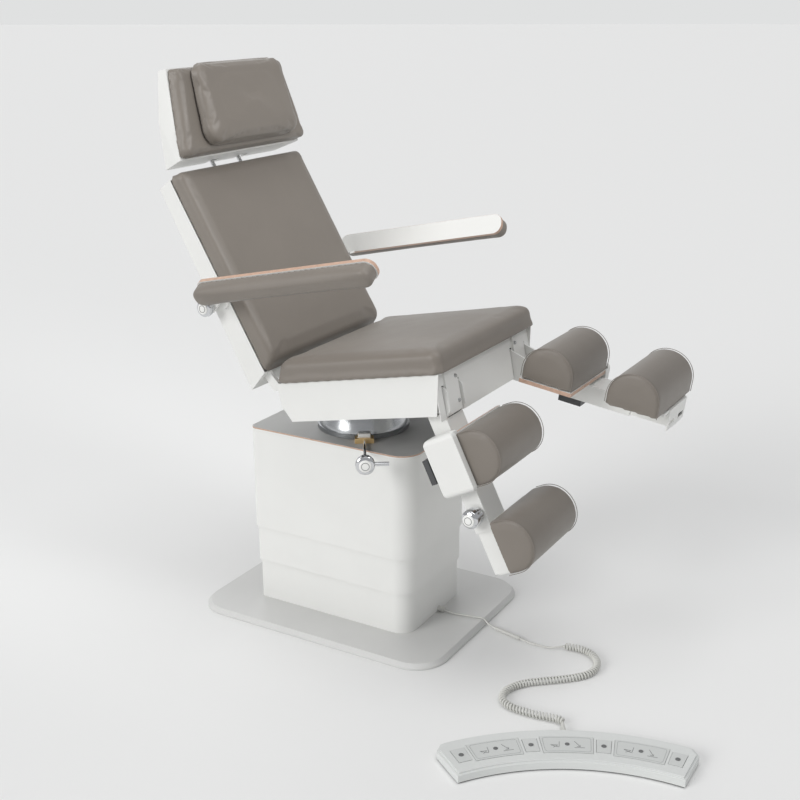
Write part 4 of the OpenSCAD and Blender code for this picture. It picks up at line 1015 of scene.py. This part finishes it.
@dataclass
class Cushion:
    """A foam cushion under vinyl cloth, swollen by a cloth simulation inside the space of its CAD solid."""

    name: str
    node: str
    body: str
    frame: Matrix
    rings: list[Ring]
    voxel: float = 6.0
    shrink: float = 3.0
    cap: float = 4.0
    fill: float = 0.9
    base: float = 2.0
    waves: tuple[float, float] = (95.0, 40.0)
    sunk: tuple[float, float] = (0.25, 0.35)
    relaxed: int = 4

    def make(self) -> bpy.types.Object:
        """Builds, swells and places the cushion.

        Returns:
            The finished piece.
        """
        shape = Form().loft(self.rings).build(self.name, self.frame, UPHOLSTERY)
        self._remesh(shape)
        self._swell(shape)
        self._soften(shape)
        settle(shape, self.body, "upholstery", self.node)
        return shape

    def _fixed(self, points: Iterable[Vector]) -> list[bool]:
        """Whether each point, in metres, is on the cushion's flat underside."""
        inverse = self.frame.inverted()
        return [(inverse @ (p / MM)).z < self.base for p in points]

    def _remesh(self, shape: bpy.types.Object) -> None:
        """Gives the form an even mesh."""
        voxels = shape.modifiers.new("voxels", "REMESH")
        voxels.mode = "VOXEL"
        voxels.voxel_size = self.voxel * MM
        voxels.use_smooth_shade = True
        bake(shape)
        shape.data.materials.clear()
        shape.data.materials.append(UPHOLSTERY.material())

    def _swell(self, shape: bpy.types.Object) -> None:
        """Draws the skin in a little and lets pressure push it out again, no further than the cap."""
        mesh = shape.data
        fixed = self._fixed(v.co for v in mesh.vertices)
        rest = [v.co.copy() for v in mesh.vertices]
        normals = [v.normal.copy() for v in mesh.vertices]
        for v, still, n in zip(mesh.vertices, fixed, normals):
            if not still:
                v.co -= n * self.shrink * MM
        start = [v.co.copy() for v in mesh.vertices]
        pins = shape.vertex_groups.new(name="seam")
        pins.add([i for i, still in enumerate(fixed) if still], 1.0, "REPLACE")
        cloth = shape.modifiers.new("cloth", "CLOTH")
        cloth.settings.vertex_group_mass = "seam"
        cloth.settings.quality = VINYL.quality
        cloth.settings.mass = VINYL.mass
        cloth.settings.tension_stiffness = VINYL.tension
        cloth.settings.bending_stiffness = VINYL.bending
        cloth.settings.use_pressure = True
        cloth.settings.uniform_pressure_force = VINYL.pressure
        cloth.settings.effector_weights.gravity = 0
        cloth.collision_settings.use_collision = False
        scene = bpy.context.scene
        for frame in range(1, VINYL.frames + 1):
            scene.frame_set(frame)
        graph = bpy.context.evaluated_depsgraph_get()
        swollen = shape.evaluated_get(graph).data
        ends = [v.co.copy() for v in swollen.vertices]
        shape.modifiers.clear()
        shape.vertex_groups.clear()
        limit = self.cap * MM
        for v, a, b, r, n, still in zip(mesh.vertices, start, ends, rest, normals, fixed):
            if still:
                continue
            move = b - a
            if move.length > limit:
                move = move.normalized() * limit
            place = a + move
            past = (place - r).dot(n)
            v.co = place - n * max(0.0, past)
        scene.frame_set(1)

    def _soften(self, shape: bpy.types.Object) -> None:
        """Adds the slow waves of stretched cloth, evens the mesh and doubles its faces."""
        fixed = self._fixed(v.co for v in shape.data.vertices)
        slow, quick = (per_mm(size) for size in self.waves)
        least, more = self.sunk
        for v, still in zip(shape.data.vertices, fixed):
            if not still:
                wave = noise.noise(v.co * slow) + 0.5 * noise.noise(v.co * quick)
                v.co -= v.normal * (least + more * abs(wave)) * MM
        relax = shape.modifiers.new("relax", "SMOOTH")
        relax.iterations = self.relaxed
        relax.factor = 0.5
        finer = shape.modifiers.new("finer", "SUBSURF")
        finer.levels = finer.render_levels = 1
        bake(shape)
        for face in shape.data.polygons:
            face.use_smooth = True


# Sub-assemblies


@dataclass
class Knob:
    """A turned chrome knob's white domed cap with a plain grey ring on it."""

    radius: float
    top: float
    cap_share: float = 0.66
    ring_share: float = 0.62
    groove_share: float = 0.42
    dome: float = 2.6
    sunk: float = 1.5
    proud: float = 0.2
    ring_up: float = 2.1
    ring_r: float = 0.8
    groove_r: float = 0.7

    def dress(self, tag: str, frame: Matrix, body: str) -> None:
        """Adds the cap and its ring.

        Args:
            tag: the start of the pieces' names.
            frame: the knob's frame, z out of its face.
            body: the body that it rides on.
        """
        r, low = self.radius * self.cap_share, self.top - self.sunk
        dome = [(r * math.cos(a), self.top + self.proud + self.dome * math.sin(a)) for a in quarter_steps(8)]
        cap = Form().revolve([(0, low), (r, low), *dome])
        settle(cap.build(f"{tag}_cap", frame, KNOB_WHITE), body, "chrome")
        ring = circle(self.ring_share * r, self.top + self.ring_up, 48)
        settle(welt(f"{tag}_ring", ring, frame, self.ring_r, MARK_GREY), body, "chrome")
        groove = circle(self.radius, self.top * self.groove_share, 64)
        settle(welt(f"{tag}_groove", groove, frame, self.groove_r, STEEL), body, "chrome")


@dataclass
class Column:
    """The base plate, the telescopic covers and the board on top."""

    long: float = 522.0
    wide: float = 349.0
    front_r: float = 60.0
    rear_r: float = 22.0
    board: float = 10.0
    top: float = 549.0
    veneer: float = 4.2

    def outline(self, inset: float = 0.0) -> Ring:
        """The column's plan, drawn in by inset."""
        x, y = self.long / 2 - inset, self.wide / 2 - inset
        return rounded(-x, x, -y, y, self.front_r - inset, self.rear_r - inset, 14)

    def make(self) -> None:
        """Dresses the nodes and adds the wood line and the white skirt on the board's edge."""
        dress("base_plate", BASE_GREY, 1.2)
        for node in ("lower_cover", "middle_cover", "upper_cover"):
            dress(node, COVER_WHITE, 0.6)
        for node in ("lift_tube_outer", "lift_tube_middle", "lift_tube_inner", "turntable_base"):
            dress(node, STEEL, 0.4)
        dress("lift_drive", DARK_PAINT, 0.6)
        dress("control_box", DARK_MOULD, 0.8)
        dress("top_board", BOARD_TOP, 0.6)
        line = self.top - self.veneer
        band = Form().band(self.outline(), 1.0, 0.5, line, self.top - 0.5)
        settle(band.build("top_board_edging", Matrix(), EDGE_WOOD), "lift_top", "board_grey")
        band = Form().band(self.outline(), 1.0, 0.4, self.top - self.board + 0.4, line - 0.2)
        settle(band.build("top_board_skirt", Matrix(), COVER_WHITE), "lift_top", "white_panel")


@dataclass
class Turntable:
    """The swivel drum with its band brake, and the yoke that the seat tilts on."""

    reach: float = 322.0
    knob_r: float = 25.0
    knob_t: float = 26.0
    spindle_z: float = 556.0
    block_r: float = 130.3
    block_l: float = 28.0
    block_w: float = 52.0
    block_h: float = 13.4
    top_l: float = 18.0
    top_w: float = 34.0
    top_h: float = 11.0
    proud: float = 0.4

    def make(self) -> None:
        """Dresses the nodes and adds the knob's cap, the clamp block's white top and its screws."""
        dress("turret", SATIN_STEEL, 0.6)
        dress("clamp_band", STEEL, 0.4)
        dress("clamp_block", BRASS, 1.0)
        dress("brake_spindle", CHROME, 0.5)
        frame = LAYOUT.brake() @ shift(self.reach, 0, self.spindle_z) @ turn("Y", 90)
        Knob(self.knob_r, self.knob_t).dress("brake_knob", frame, "brake")
        block = LAYOUT.brake() @ shift(self.block_r, 0, LAYOUT.column_top)
        p, x, y = self.proud, self.top_l, self.top_w / 2
        plan = rounded(-p, x + p, -y - p, y + p, 2, 2, 4)
        cap = Form().slab(plan, self.block_h, self.block_h + self.top_h + p, 1.6)
        settle(cap.build("clamp_block_top", block, KNOB_WHITE), "lift_top", "brass")
        spots = [
            (Vector((self.block_l / 2, side.value * self.block_w / 3, self.block_h - 1.4)), Vector((0, 0, 1)))
            for side in Side
        ]
        settle(screws("clamp_block_screws", spots, block, 2.8, 1.9, STEEL), "lift_top", "steel")


@dataclass
class Seat:
    """The seat's frame, covers and cushion."""

    pad: Pad = Pad(-8, 515, 570, 570, 34, 26, 63, 63, 15, 18)
    front_u: float = 481.3
    plate_y: float = 196.0
    plate_w: float = 64.0
    plate_t: float = 5.5
    screw_ws: tuple[float, float] = (-26.0, -90.0)

    def make(self) -> None:
        """Dresses the nodes, and makes the cushion and the hinge plates' screws."""
        dress("seat_frame", DARK_PAINT, 0.6)
        dress("seat_covers", COVER_WHITE, 0.6)
        dress("leg_hinge_plates", FRAME_WHITE, 0.6)
        dress("back_actuator", DARK_PAINT, 0.8)
        dress("back_rod", CHROME, 0.5)
        frame = LAYOUT.seat()
        face = self.front_u + self.plate_t - 0.2
        spots = [
            (Vector((face, side.value * (self.plate_y - self.plate_w / 3), w)), Vector((1, 0, 0)))
            for side in Side
            for w in self.screw_ws
        ]
        settle(screws("hinge_plate_screws", spots, frame, 5.4, 3.4, STEEL), "seat", "steel")
        Cushion("seat_pad", "seat_cushion", "seat", frame, self.pad.rings(), 7.0).make()


@dataclass
class Back:
    """The backrest's frame, shell and cushion, and the headrest's two stems."""

    pad: Pad = Pad(0, 588, 570, 570, 26, 18, 46, 46, 7, 22)
    face: float = 4.5
    foot: float = 36.0

    def make(self) -> None:
        """Dresses the nodes and makes the cushion."""
        dress("back_frame", FRAME_WHITE, 0.6)
        dress("back_shell", COVER_WHITE, 0.8)
        dress("headrest_stems", CHROME, 0.3)
        frame = LAYOUT.back() @ shift(self.face, 0, self.foot) @ turn("Y", 90) @ turn("Z", 180)
        Cushion("back_pad", "back_cushion", "back", frame, self.pad.rings(), 7.0).make()


@dataclass
class Headrest:
    """The headrest's shell, its dished cushion and the pillow on it."""

    pad: Pad = Pad(0, 241, 552, 484, 24, 15, 36, 36, -4)
    pillow: Pad = Pad(0, 225, 408, 392, 44, 52, 43, 34, 4)
    rim: float = 37.02
    pillow_foot: float = 19.0

    def make(self) -> None:
        """Dresses the shell and makes the cushion and the pillow."""
        dress("headrest_shell", COVER_WHITE, 0.8)
        turned = turn("Y", 90) @ turn("Z", 180)
        frame = LAYOUT.head() @ turned
        Cushion("headrest_pad", "headrest_cushion", "head", frame, self.pad.rings(), 5.0).make()
        frame = LAYOUT.head() @ shift(self.rim, 0, self.pillow_foot) @ turned
        Cushion("headrest_pillow", "head_pillow", "head", frame, self.pillow.rings(), 4.5, 2.0, 5.0, 0.8).make()


@dataclass
class Armrest:
    """One armrest: a white board on edge with a wooden edging, its pad and its clamping knob."""

    side: Side
    long: float = 554.0
    wide: float = 58.0
    board: float = 11.0
    thick: float = 41.0
    roll: float = 60.0
    x0: float = 18.0
    mid_y: float = 345.25
    mid_z: float = 50.5
    corner: float = 26.0
    inset: float = 0.4
    edge: float = 14.0
    seam_in: float = 0.8
    seam_up: float = 3.0
    knob_r: float = 22.5
    knob_y: float = 303.3
    knob_t: float = 24.0

    def make(self) -> None:
        """Dresses the nodes and makes the pad, the edging and the knob's cap."""
        tag, arm = self.side.tag, LAYOUT.arm(self.side)
        body = f"arm_{tag}"
        dress(f"armrest_{tag}", COVER_WHITE, 0.8)
        dress(f"armrest_knob_{tag}", CHROME, 0.6)
        board = arm @ shift(self.x0 + self.long / 2, self.mid_y, self.mid_z) @ turn("X", self.roll)
        x, y = self.long / 2, self.wide / 2
        plan = rounded(-x, x, -y, y, self.corner, self.corner, 12)
        band = Form().band(plan, 1.0, 0.4, 0.4, self.board - 0.4)
        settle(band.build(f"armrest_edging_{tag}", board, EDGE_WOOD), body, "white_panel")
        i = self.inset
        plan = rounded(-x + i, x - i, -y + i, y - i, self.corner - i, self.corner - i, 10)
        levels = [(0, -self.seam_in), (self.seam_up, 0)]
        for a in quarter_steps(6):
            levels.append((self.thick - self.edge * (1 - math.sin(a)), -self.edge * (1 - math.cos(a))))
        rings = [[Vector((*p.to_2d(), level)) for p in offset(plan, by)] for level, by in levels]
        under = board @ turn("X", 180)
        Cushion(f"armrest_cushion_{tag}", f"armrest_pad_{tag}", body, under, rings, 3.5, 1.5, 3.0).make()
        frame = arm @ shift(0, self.knob_y, 0) @ turn("X", -90)
        Knob(self.knob_r, self.knob_t).dress(f"armrest_knob_{tag}", frame, f"arm_knob_{tag}")


@dataclass
class Leg:
    """One leg support: its tube and cover, two bolsters, the sliding carrier, knob and release lever."""

    side: Side
    calf_u: float = 100.0
    calf_long: float = 147.0
    calf_y1: float = 265.0
    foot_u: float = 335.0
    foot_long: float = 145.0
    foot_y1: float = 280.0
    pad_y0: float = 5.0
    board: float = 11.0
    face: float = 8.0
    knob_u: float = 316.0
    knob_n: float = -37.0
    knob_y: float = 244.0
    knob_t: float = 42.0
    knob_r: float = 24.0

    def make(self) -> None:
        """Dresses the nodes and makes the bolsters, the board's edging, the end welts and the knob's cap."""
        tag, frame = self.side.tag, LAYOUT.leg(self.side)
        leg, slider = f"leg_{tag}", f"slider_{tag}"
        dress(f"leg_tube_{tag}", FRAME_WHITE, 0.8)
        dress(f"leg_cover_{tag}", COVER_WHITE, 1.2)
        dress(f"foot_slider_{tag}", FRAME_WHITE, 0.8)
        dress(f"leg_knob_{tag}", CHROME, 0.6)
        dress(f"leg_lever_{tag}", DARK_MOULD, 1.0)
        for name, node, body, u, long, y1 in (
            (f"calf_pad_{tag}", f"calf_cushion_{tag}", leg, self.calf_u, self.calf_long, self.calf_y1),
            (f"foot_pad_{tag}", f"foot_cushion_{tag}", slider, self.foot_u, self.foot_long, self.foot_y1),
        ):
            form = Bolster(u, long, self.pad_y0, y1)
            Cushion(name, node, body, frame, form.rings(), 5.0, 2.5, 3.5, base=self.face + 2.3).make()
            for end, y in (("inner", self.pad_y0 + 1.8), ("outer", y1 - 1.8)):
                path = [Vector((p.x, y, p.z)) for p in form.profile(2.4, -form.puff)[1:]]
                settle(welt(f"{name}_{end}_welt", path, frame, 0.9, WELT, loop=False), body, "upholstery")
        plan = rounded(self.calf_u, self.calf_u + self.calf_long, self.pad_y0 + 0.3, 245.4, 1.2, 1.2, 3)
        band = Form().band(plan, 1.0, 0.4, self.face - self.board + 0.3, self.face - 0.3)
        settle(band.build(f"leg_board_edging_{tag}", frame, EDGE_WOOD), leg, "white_panel")
        knob = frame @ shift(self.knob_u, self.knob_y, self.knob_n) @ turn("X", -90)
        Knob(self.knob_r, self.knob_t).dress(f"leg_knob_{tag}", knob, f"leg_knob_{tag}")


@dataclass
class FootControl:
    """The arc-shaped foot control: three rocking plates and four keys in a bevelled housing."""

    middle: float = 118.1
    step: float = 7.87
    central: int = 4
    key_r: float = 626.0
    rocker_w: float = 66.0
    rocker_deg: float = 11.2
    high: float = 27.0
    proud: float = 0.8
    dot_r: float = 5.0
    dot_t: float = 0.6
    frame_in: float = 5.0
    frame_corner: float = 4.0
    line_up: float = 0.15

    def angle(self, i: int) -> float:
        """The angle of the i-th of the seven places, in degrees."""
        return self.middle + (self.central - i) * self.step

    def make(self) -> None:
        """Dresses the nodes and adds the dots, the plates' frames and their plain line signs."""
        dress("foot_housing", CONTROL_SHELL, 1.2)
        dress("foot_tray", DARK_MOULD, 0.4)
        for number, place in ((1, 2), (2, 4), (3, 6)):
            dress(f"rocker_{number}", KEY_FACE, 0.7)
            self._rocker(number, place)
        for number, place in ((1, 1), (2, 3), (3, 5), (4, 7)):
            dress(f"key_{number}", KEY_FACE, 0.7)
            self._dot(f"key_{number}_dot", self.angle(place), 0, f"key_{number}", 6.2)

    def _local(self, place: float) -> Matrix:
        """A frame on a key's middle: x out along the radius, y along the arc, z up from the key's face."""
        return LAYOUT.control() @ turn("Z", place) @ shift(self.key_r, 0, self.high + self.proud)

    def _dot(self, name: str, angle: float, y: float, body: str, radius: float) -> None:
        """A dark domed pad on a key, over the CAD's plain disc."""
        top = [
            (radius * (0.8 + 0.2 * math.cos(a)), self.dot_t + 0.2 + 0.5 * math.sin(a)) for a in quarter_steps(4)
        ]
        shape = Form().revolve([(0, -0.2), (radius, -0.2), *top, (0, self.dot_t + 0.75)])
        settle(shape.build(name, self._local(angle) @ shift(0, y, 0), MARK_GREY), body, "dark_plastic")

    def _rocker(self, number: int, place: int) -> None:
        """The dot, the frame line and the two plain signs of a rocking plate."""
        angle, body = self.angle(place), f"rocker_{number}"
        self._dot(f"{body}_dot", angle, 0, body, self.dot_r + 0.6)
        half = self.rocker_w / 2 - self.frame_in
        edge = sector(self.key_r - half, self.key_r + half, angle, self.rocker_deg - 1.0, self.frame_corner)
        frame = LAYOUT.control() @ shift(0, 0, self.high + self.proud + self.line_up)
        settle(welt(f"{body}_frame", edge, frame, 0.45, MARK_PALE), body, "control_plastic")
        local = self._local(angle)
        signs: tuple[tuple[str, list[tuple[float, float]]], ...] = (
            ("seat_sign", [(-14, 34), (-4, 22), (-4, 40), (-13, 20), (10, 18)]),
            ("arrow_sign", [(12, -18), (-10, -30), (-2, -30), (-10, -30), (-9, -22)]),
            ("level_sign", [(-14, -40), (-14, -16)]),
        )
        for word, line in signs:
            path = [Vector((x, y, self.line_up)) for x, y in line]
            settle(welt(f"{body}_{word}", path, local, 0.5, MARK_GREY, loop=False), body, "control_plastic")


@dataclass
class Cord:
    """The foot control's cord: a straight lead along the floor, then a curly length up to the control."""

    radius: float = 2.6
    curl_d: float = 20.0
    curls: int = 78
    rings: int = 16
    sides: int = 12
    ends: float = 7.0
    lead: tuple[tuple[float, float, float], ...] = (
        (268, 13, 24), (284, 14, 21.5), (305, 17, 19), (335, 23, 18.9), (365, 29, 18.9), (385, 32, 18.7),
        (400, 31, 7.5), (414, 27, 4.9), (430, 21, 4.9), (475, 10.5, 4.9), (520, 0, 4.9), (545, -3, 3.4),
        (570, -3, 3), (595, -2, 3), (612, 0, 5.5), (624, 4, 9), (632, 8, 10.3),
    )
    curly: tuple[tuple[float, float, float], ...] = (
        (632, 8, 10.3), (653, 19, 10.3), (690, 23, 10.3), (724, 11, 10.3), (749, -17, 10.3), (759, -54, 10.3),
        (751, -90, 10.3), (731, -118, 10.3), (700, -148, 10.3), (663, -179, 10.3), (636, -203, 10.3),
        (615, -230, 10.3), (603, -258, 10.3), (601, -285, 10.3), (609, -309, 10.3), (627, -325, 10.3),
        (652, -333, 10.3), (684, -334, 10.3), (718, -332, 10.3), (748, -327, 10.8), (770, -325, 11.5),
        (782, -330, 12), (788, -341, 12),
    )

    def make(self) -> bpy.types.Object:
        """Returns:
            The cord's object.
        """
        path = self._spline(self.lead, 6)[:-1] + self._curl()
        shape = Form().tube(path, self.radius, self.sides).build("foot_control_cord", Matrix(), CORD_JACKET, 60)
        fittings = dress("cord_fittings", CORD_JACKET, 0.4)
        settle(shape, "base", "cord_plastic", "lead", "curly_cord")
        return shape

    def _spline(self, points: Sequence[tuple[float, float, float]], steps: int) -> list[Vector]:
        """A smooth line through points."""
        last = len(points) - 1
        made = []
        for i in range(last):
            a, b, c, d = (Vector(points[min(max(i + k, 0), last)]) for k in (-1, 0, 1, 2))
            made += [through(a, b, c, d, s / steps) for s in range(steps)]
        return [*made, Vector(points[last])]

    def _curl(self) -> list[Vector]:
        """The curly length's middle line, which opens from the straight wire over one turn at each end."""
        route = self._spline(self.curly, 6)
        travel = [0.0]
        for a, b in zip(route, route[1:]):
            travel.append(travel[-1] + (b - a).length)
        total, count = travel[-1], self.curls * self.rings

        def axis(s: float) -> Vector:
            """The point at a distance along the route."""
            s = min(max(s, 0.0), total)
            i = max(0, min(len(route) - 2, next((k for k, t in enumerate(travel) if t >= s), len(route)) - 1))
            share = (s - travel[i]) / max(travel[i + 1] - travel[i], 1e-9)
            return route[i].lerp(route[i + 1], share)

        made = [Vector(self.curly[0])]
        arm = self.curl_d / 2 - self.radius
        for i in range(count + 1):
            s = self.ends + (total - 2 * self.ends) * i / count
            ahead = (axis(s + self.ends / 2) - axis(s - self.ends / 2)).normalized()
            side = Vector((-ahead.y, ahead.x, 0)).normalized()
            a = 2 * math.pi * i / self.rings
            reach = arm * min(1.0, min(i, count - i) / self.rings)
            made.append(axis(s) + reach * (math.cos(a) * side + math.sin(a) * ahead.cross(side)))
        return [*made, Vector(self.curly[-1])]


# Studio


@dataclass
class Studio:
    """The camera at the photograph's angle, the pale floor and soft lamps."""

    camera_at: tuple[float, float, float] = (1778.2, -2828.9, 1727.5)
    yaw: float = 30.236
    pitch: float = 18.358
    roll: float = -0.061
    focal_px: float = 1246.48
    picture_px: float = 800.0
    sensor: float = 36.0
    floor_reach: float = 60.0
    ambient: float = 0.46
    glow: str = "#F5F6F8"
    spot_power: float = 95.0
    spot_size: float = 48.0
    spot_soft: float = 0.45
    spot_at: tuple[float, float, float] = (1.5, -0.35, 2.5)
    spot_aim: tuple[float, float, float] = (-0.3, 0.0, 1.2)
    suns: tuple[tuple[str, tuple[float, float, float], float, float], ...] = (
        ("key_sun", (-1.1, -2.6, 1.2), 1.42, 28.0),
        ("top_sun", (0.4, -0.2, 3.0), 0.92, 45.0),
        ("rear_sun", (-2.2, 2.4, 1.6), 0.3, 40.0),
    )
    sky: str = "#E0E1E1"

    def camera(self) -> None:
        """Makes the camera that was fitted to the photograph."""
        yaw, pitch, roll = (math.radians(v) for v in (self.yaw, self.pitch, self.roll))
        level = Vector((-math.sin(yaw), math.cos(yaw), 0))
        right = Vector((math.cos(yaw), math.sin(yaw), 0))
        ahead = level * math.cos(pitch) - Vector((0, 0, 1)) * math.sin(pitch)
        above = level * math.sin(pitch) + Vector((0, 0, 1)) * math.cos(pitch)
        side = right * math.cos(roll) + above * math.sin(roll)
        top = above * math.cos(roll) - right * math.sin(roll)
        data = bpy.data.cameras.new("studio_camera")
        data.sensor_width = self.sensor
        data.lens = self.focal_px / self.picture_px * self.sensor
        data.clip_start, data.clip_end = 0.05, 60
        made = bpy.data.objects.new("studio_camera", data)
        turned = Matrix((side, top, -ahead)).transposed().to_4x4()
        made.matrix_world = Matrix.Translation(Vector(self.camera_at) * MM) @ turned
        bpy.context.scene.collection.objects.link(made)
        bpy.context.scene.camera = made

    def floor(self) -> None:
        """Makes the plain pale floor, which shows white to the camera away from the shadow."""
        mesh = bpy.data.meshes.new("studio_floor")
        far = self.floor_reach
        mesh.from_pydata([(-far, -far, 0), (far, -far, 0), (far, far, 0), (-far, far, 0)], [], [(0, 1, 2, 3)])
        made = bpy.data.objects.new("studio_floor", mesh)
        bpy.context.scene.collection.objects.link(made)
        made.location.z = -0.0005
        mesh.materials.append(FLOOR_PAINT.material())

    def lamps(self) -> None:
        """Sets the soft lamps and the plain world."""
        world = bpy.data.worlds.new("studio_world")
        bpy.context.scene.world = world
        world.use_nodes = True
        tree = world.node_tree
        tree.nodes.clear()
        rays = add(tree, "ShaderNodeLightPath")
        seen = add(tree, "ShaderNodeBackground", {"Color": linear(self.sky), "Strength": 1.0})
        glow = add(tree, "ShaderNodeBackground", {"Color": linear(self.glow), "Strength": self.ambient})
        mixed = add(
            tree, "ShaderNodeMixShader",
            links={0: rays.outputs["Is Camera Ray"], 1: glow.outputs[0], 2: seen.outputs[0]},
        )
        add(tree, "ShaderNodeOutputWorld", links={"Surface": mixed.outputs[0]})
        for name, towards, strength, spread in self.suns:
            data = bpy.data.lights.new(name, "SUN")
            data.energy, data.angle = strength, math.radians(spread)
            made = bpy.data.objects.new(name, data)
            made.location = towards
            made.rotation_euler = Vector(towards).to_track_quat("Z", "Y").to_euler()
            bpy.context.scene.collection.objects.link(made)
        data = bpy.data.lights.new("head_spot", "SPOT")
        data.energy, data.shadow_soft_size = self.spot_power, self.spot_soft
        data.spot_size, data.spot_blend = math.radians(self.spot_size), 1.0
        made = bpy.data.objects.new("head_spot", data)
        made.location = self.spot_at
        aim = Vector(self.spot_aim) - made.location
        made.rotation_euler = aim.to_track_quat("-Z", "Y").to_euler()
        bpy.context.scene.collection.objects.link(made)
        bpy.context.scene.view_settings.view_transform = "Standard"


def main() -> None:
    """Builds the chair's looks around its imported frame."""
    logging.basicConfig(level=logging.INFO, format="%(relativeCreated)d ms %(name)s: %(message)s")
    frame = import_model()
    NODES.update(frame["nodes"])
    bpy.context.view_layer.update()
    studio = Studio()
    studio.camera()
    Cord().make()
    FootControl().make()
    Column().make()
    Turntable().make()
    Seat().make()
    Back().make()
    Headrest().make()
    for side in Side:
        Armrest(side).make()
        Leg(side).make()
    studio.floor()
    studio.lamps()


if __name__ == "__main__":
    main()
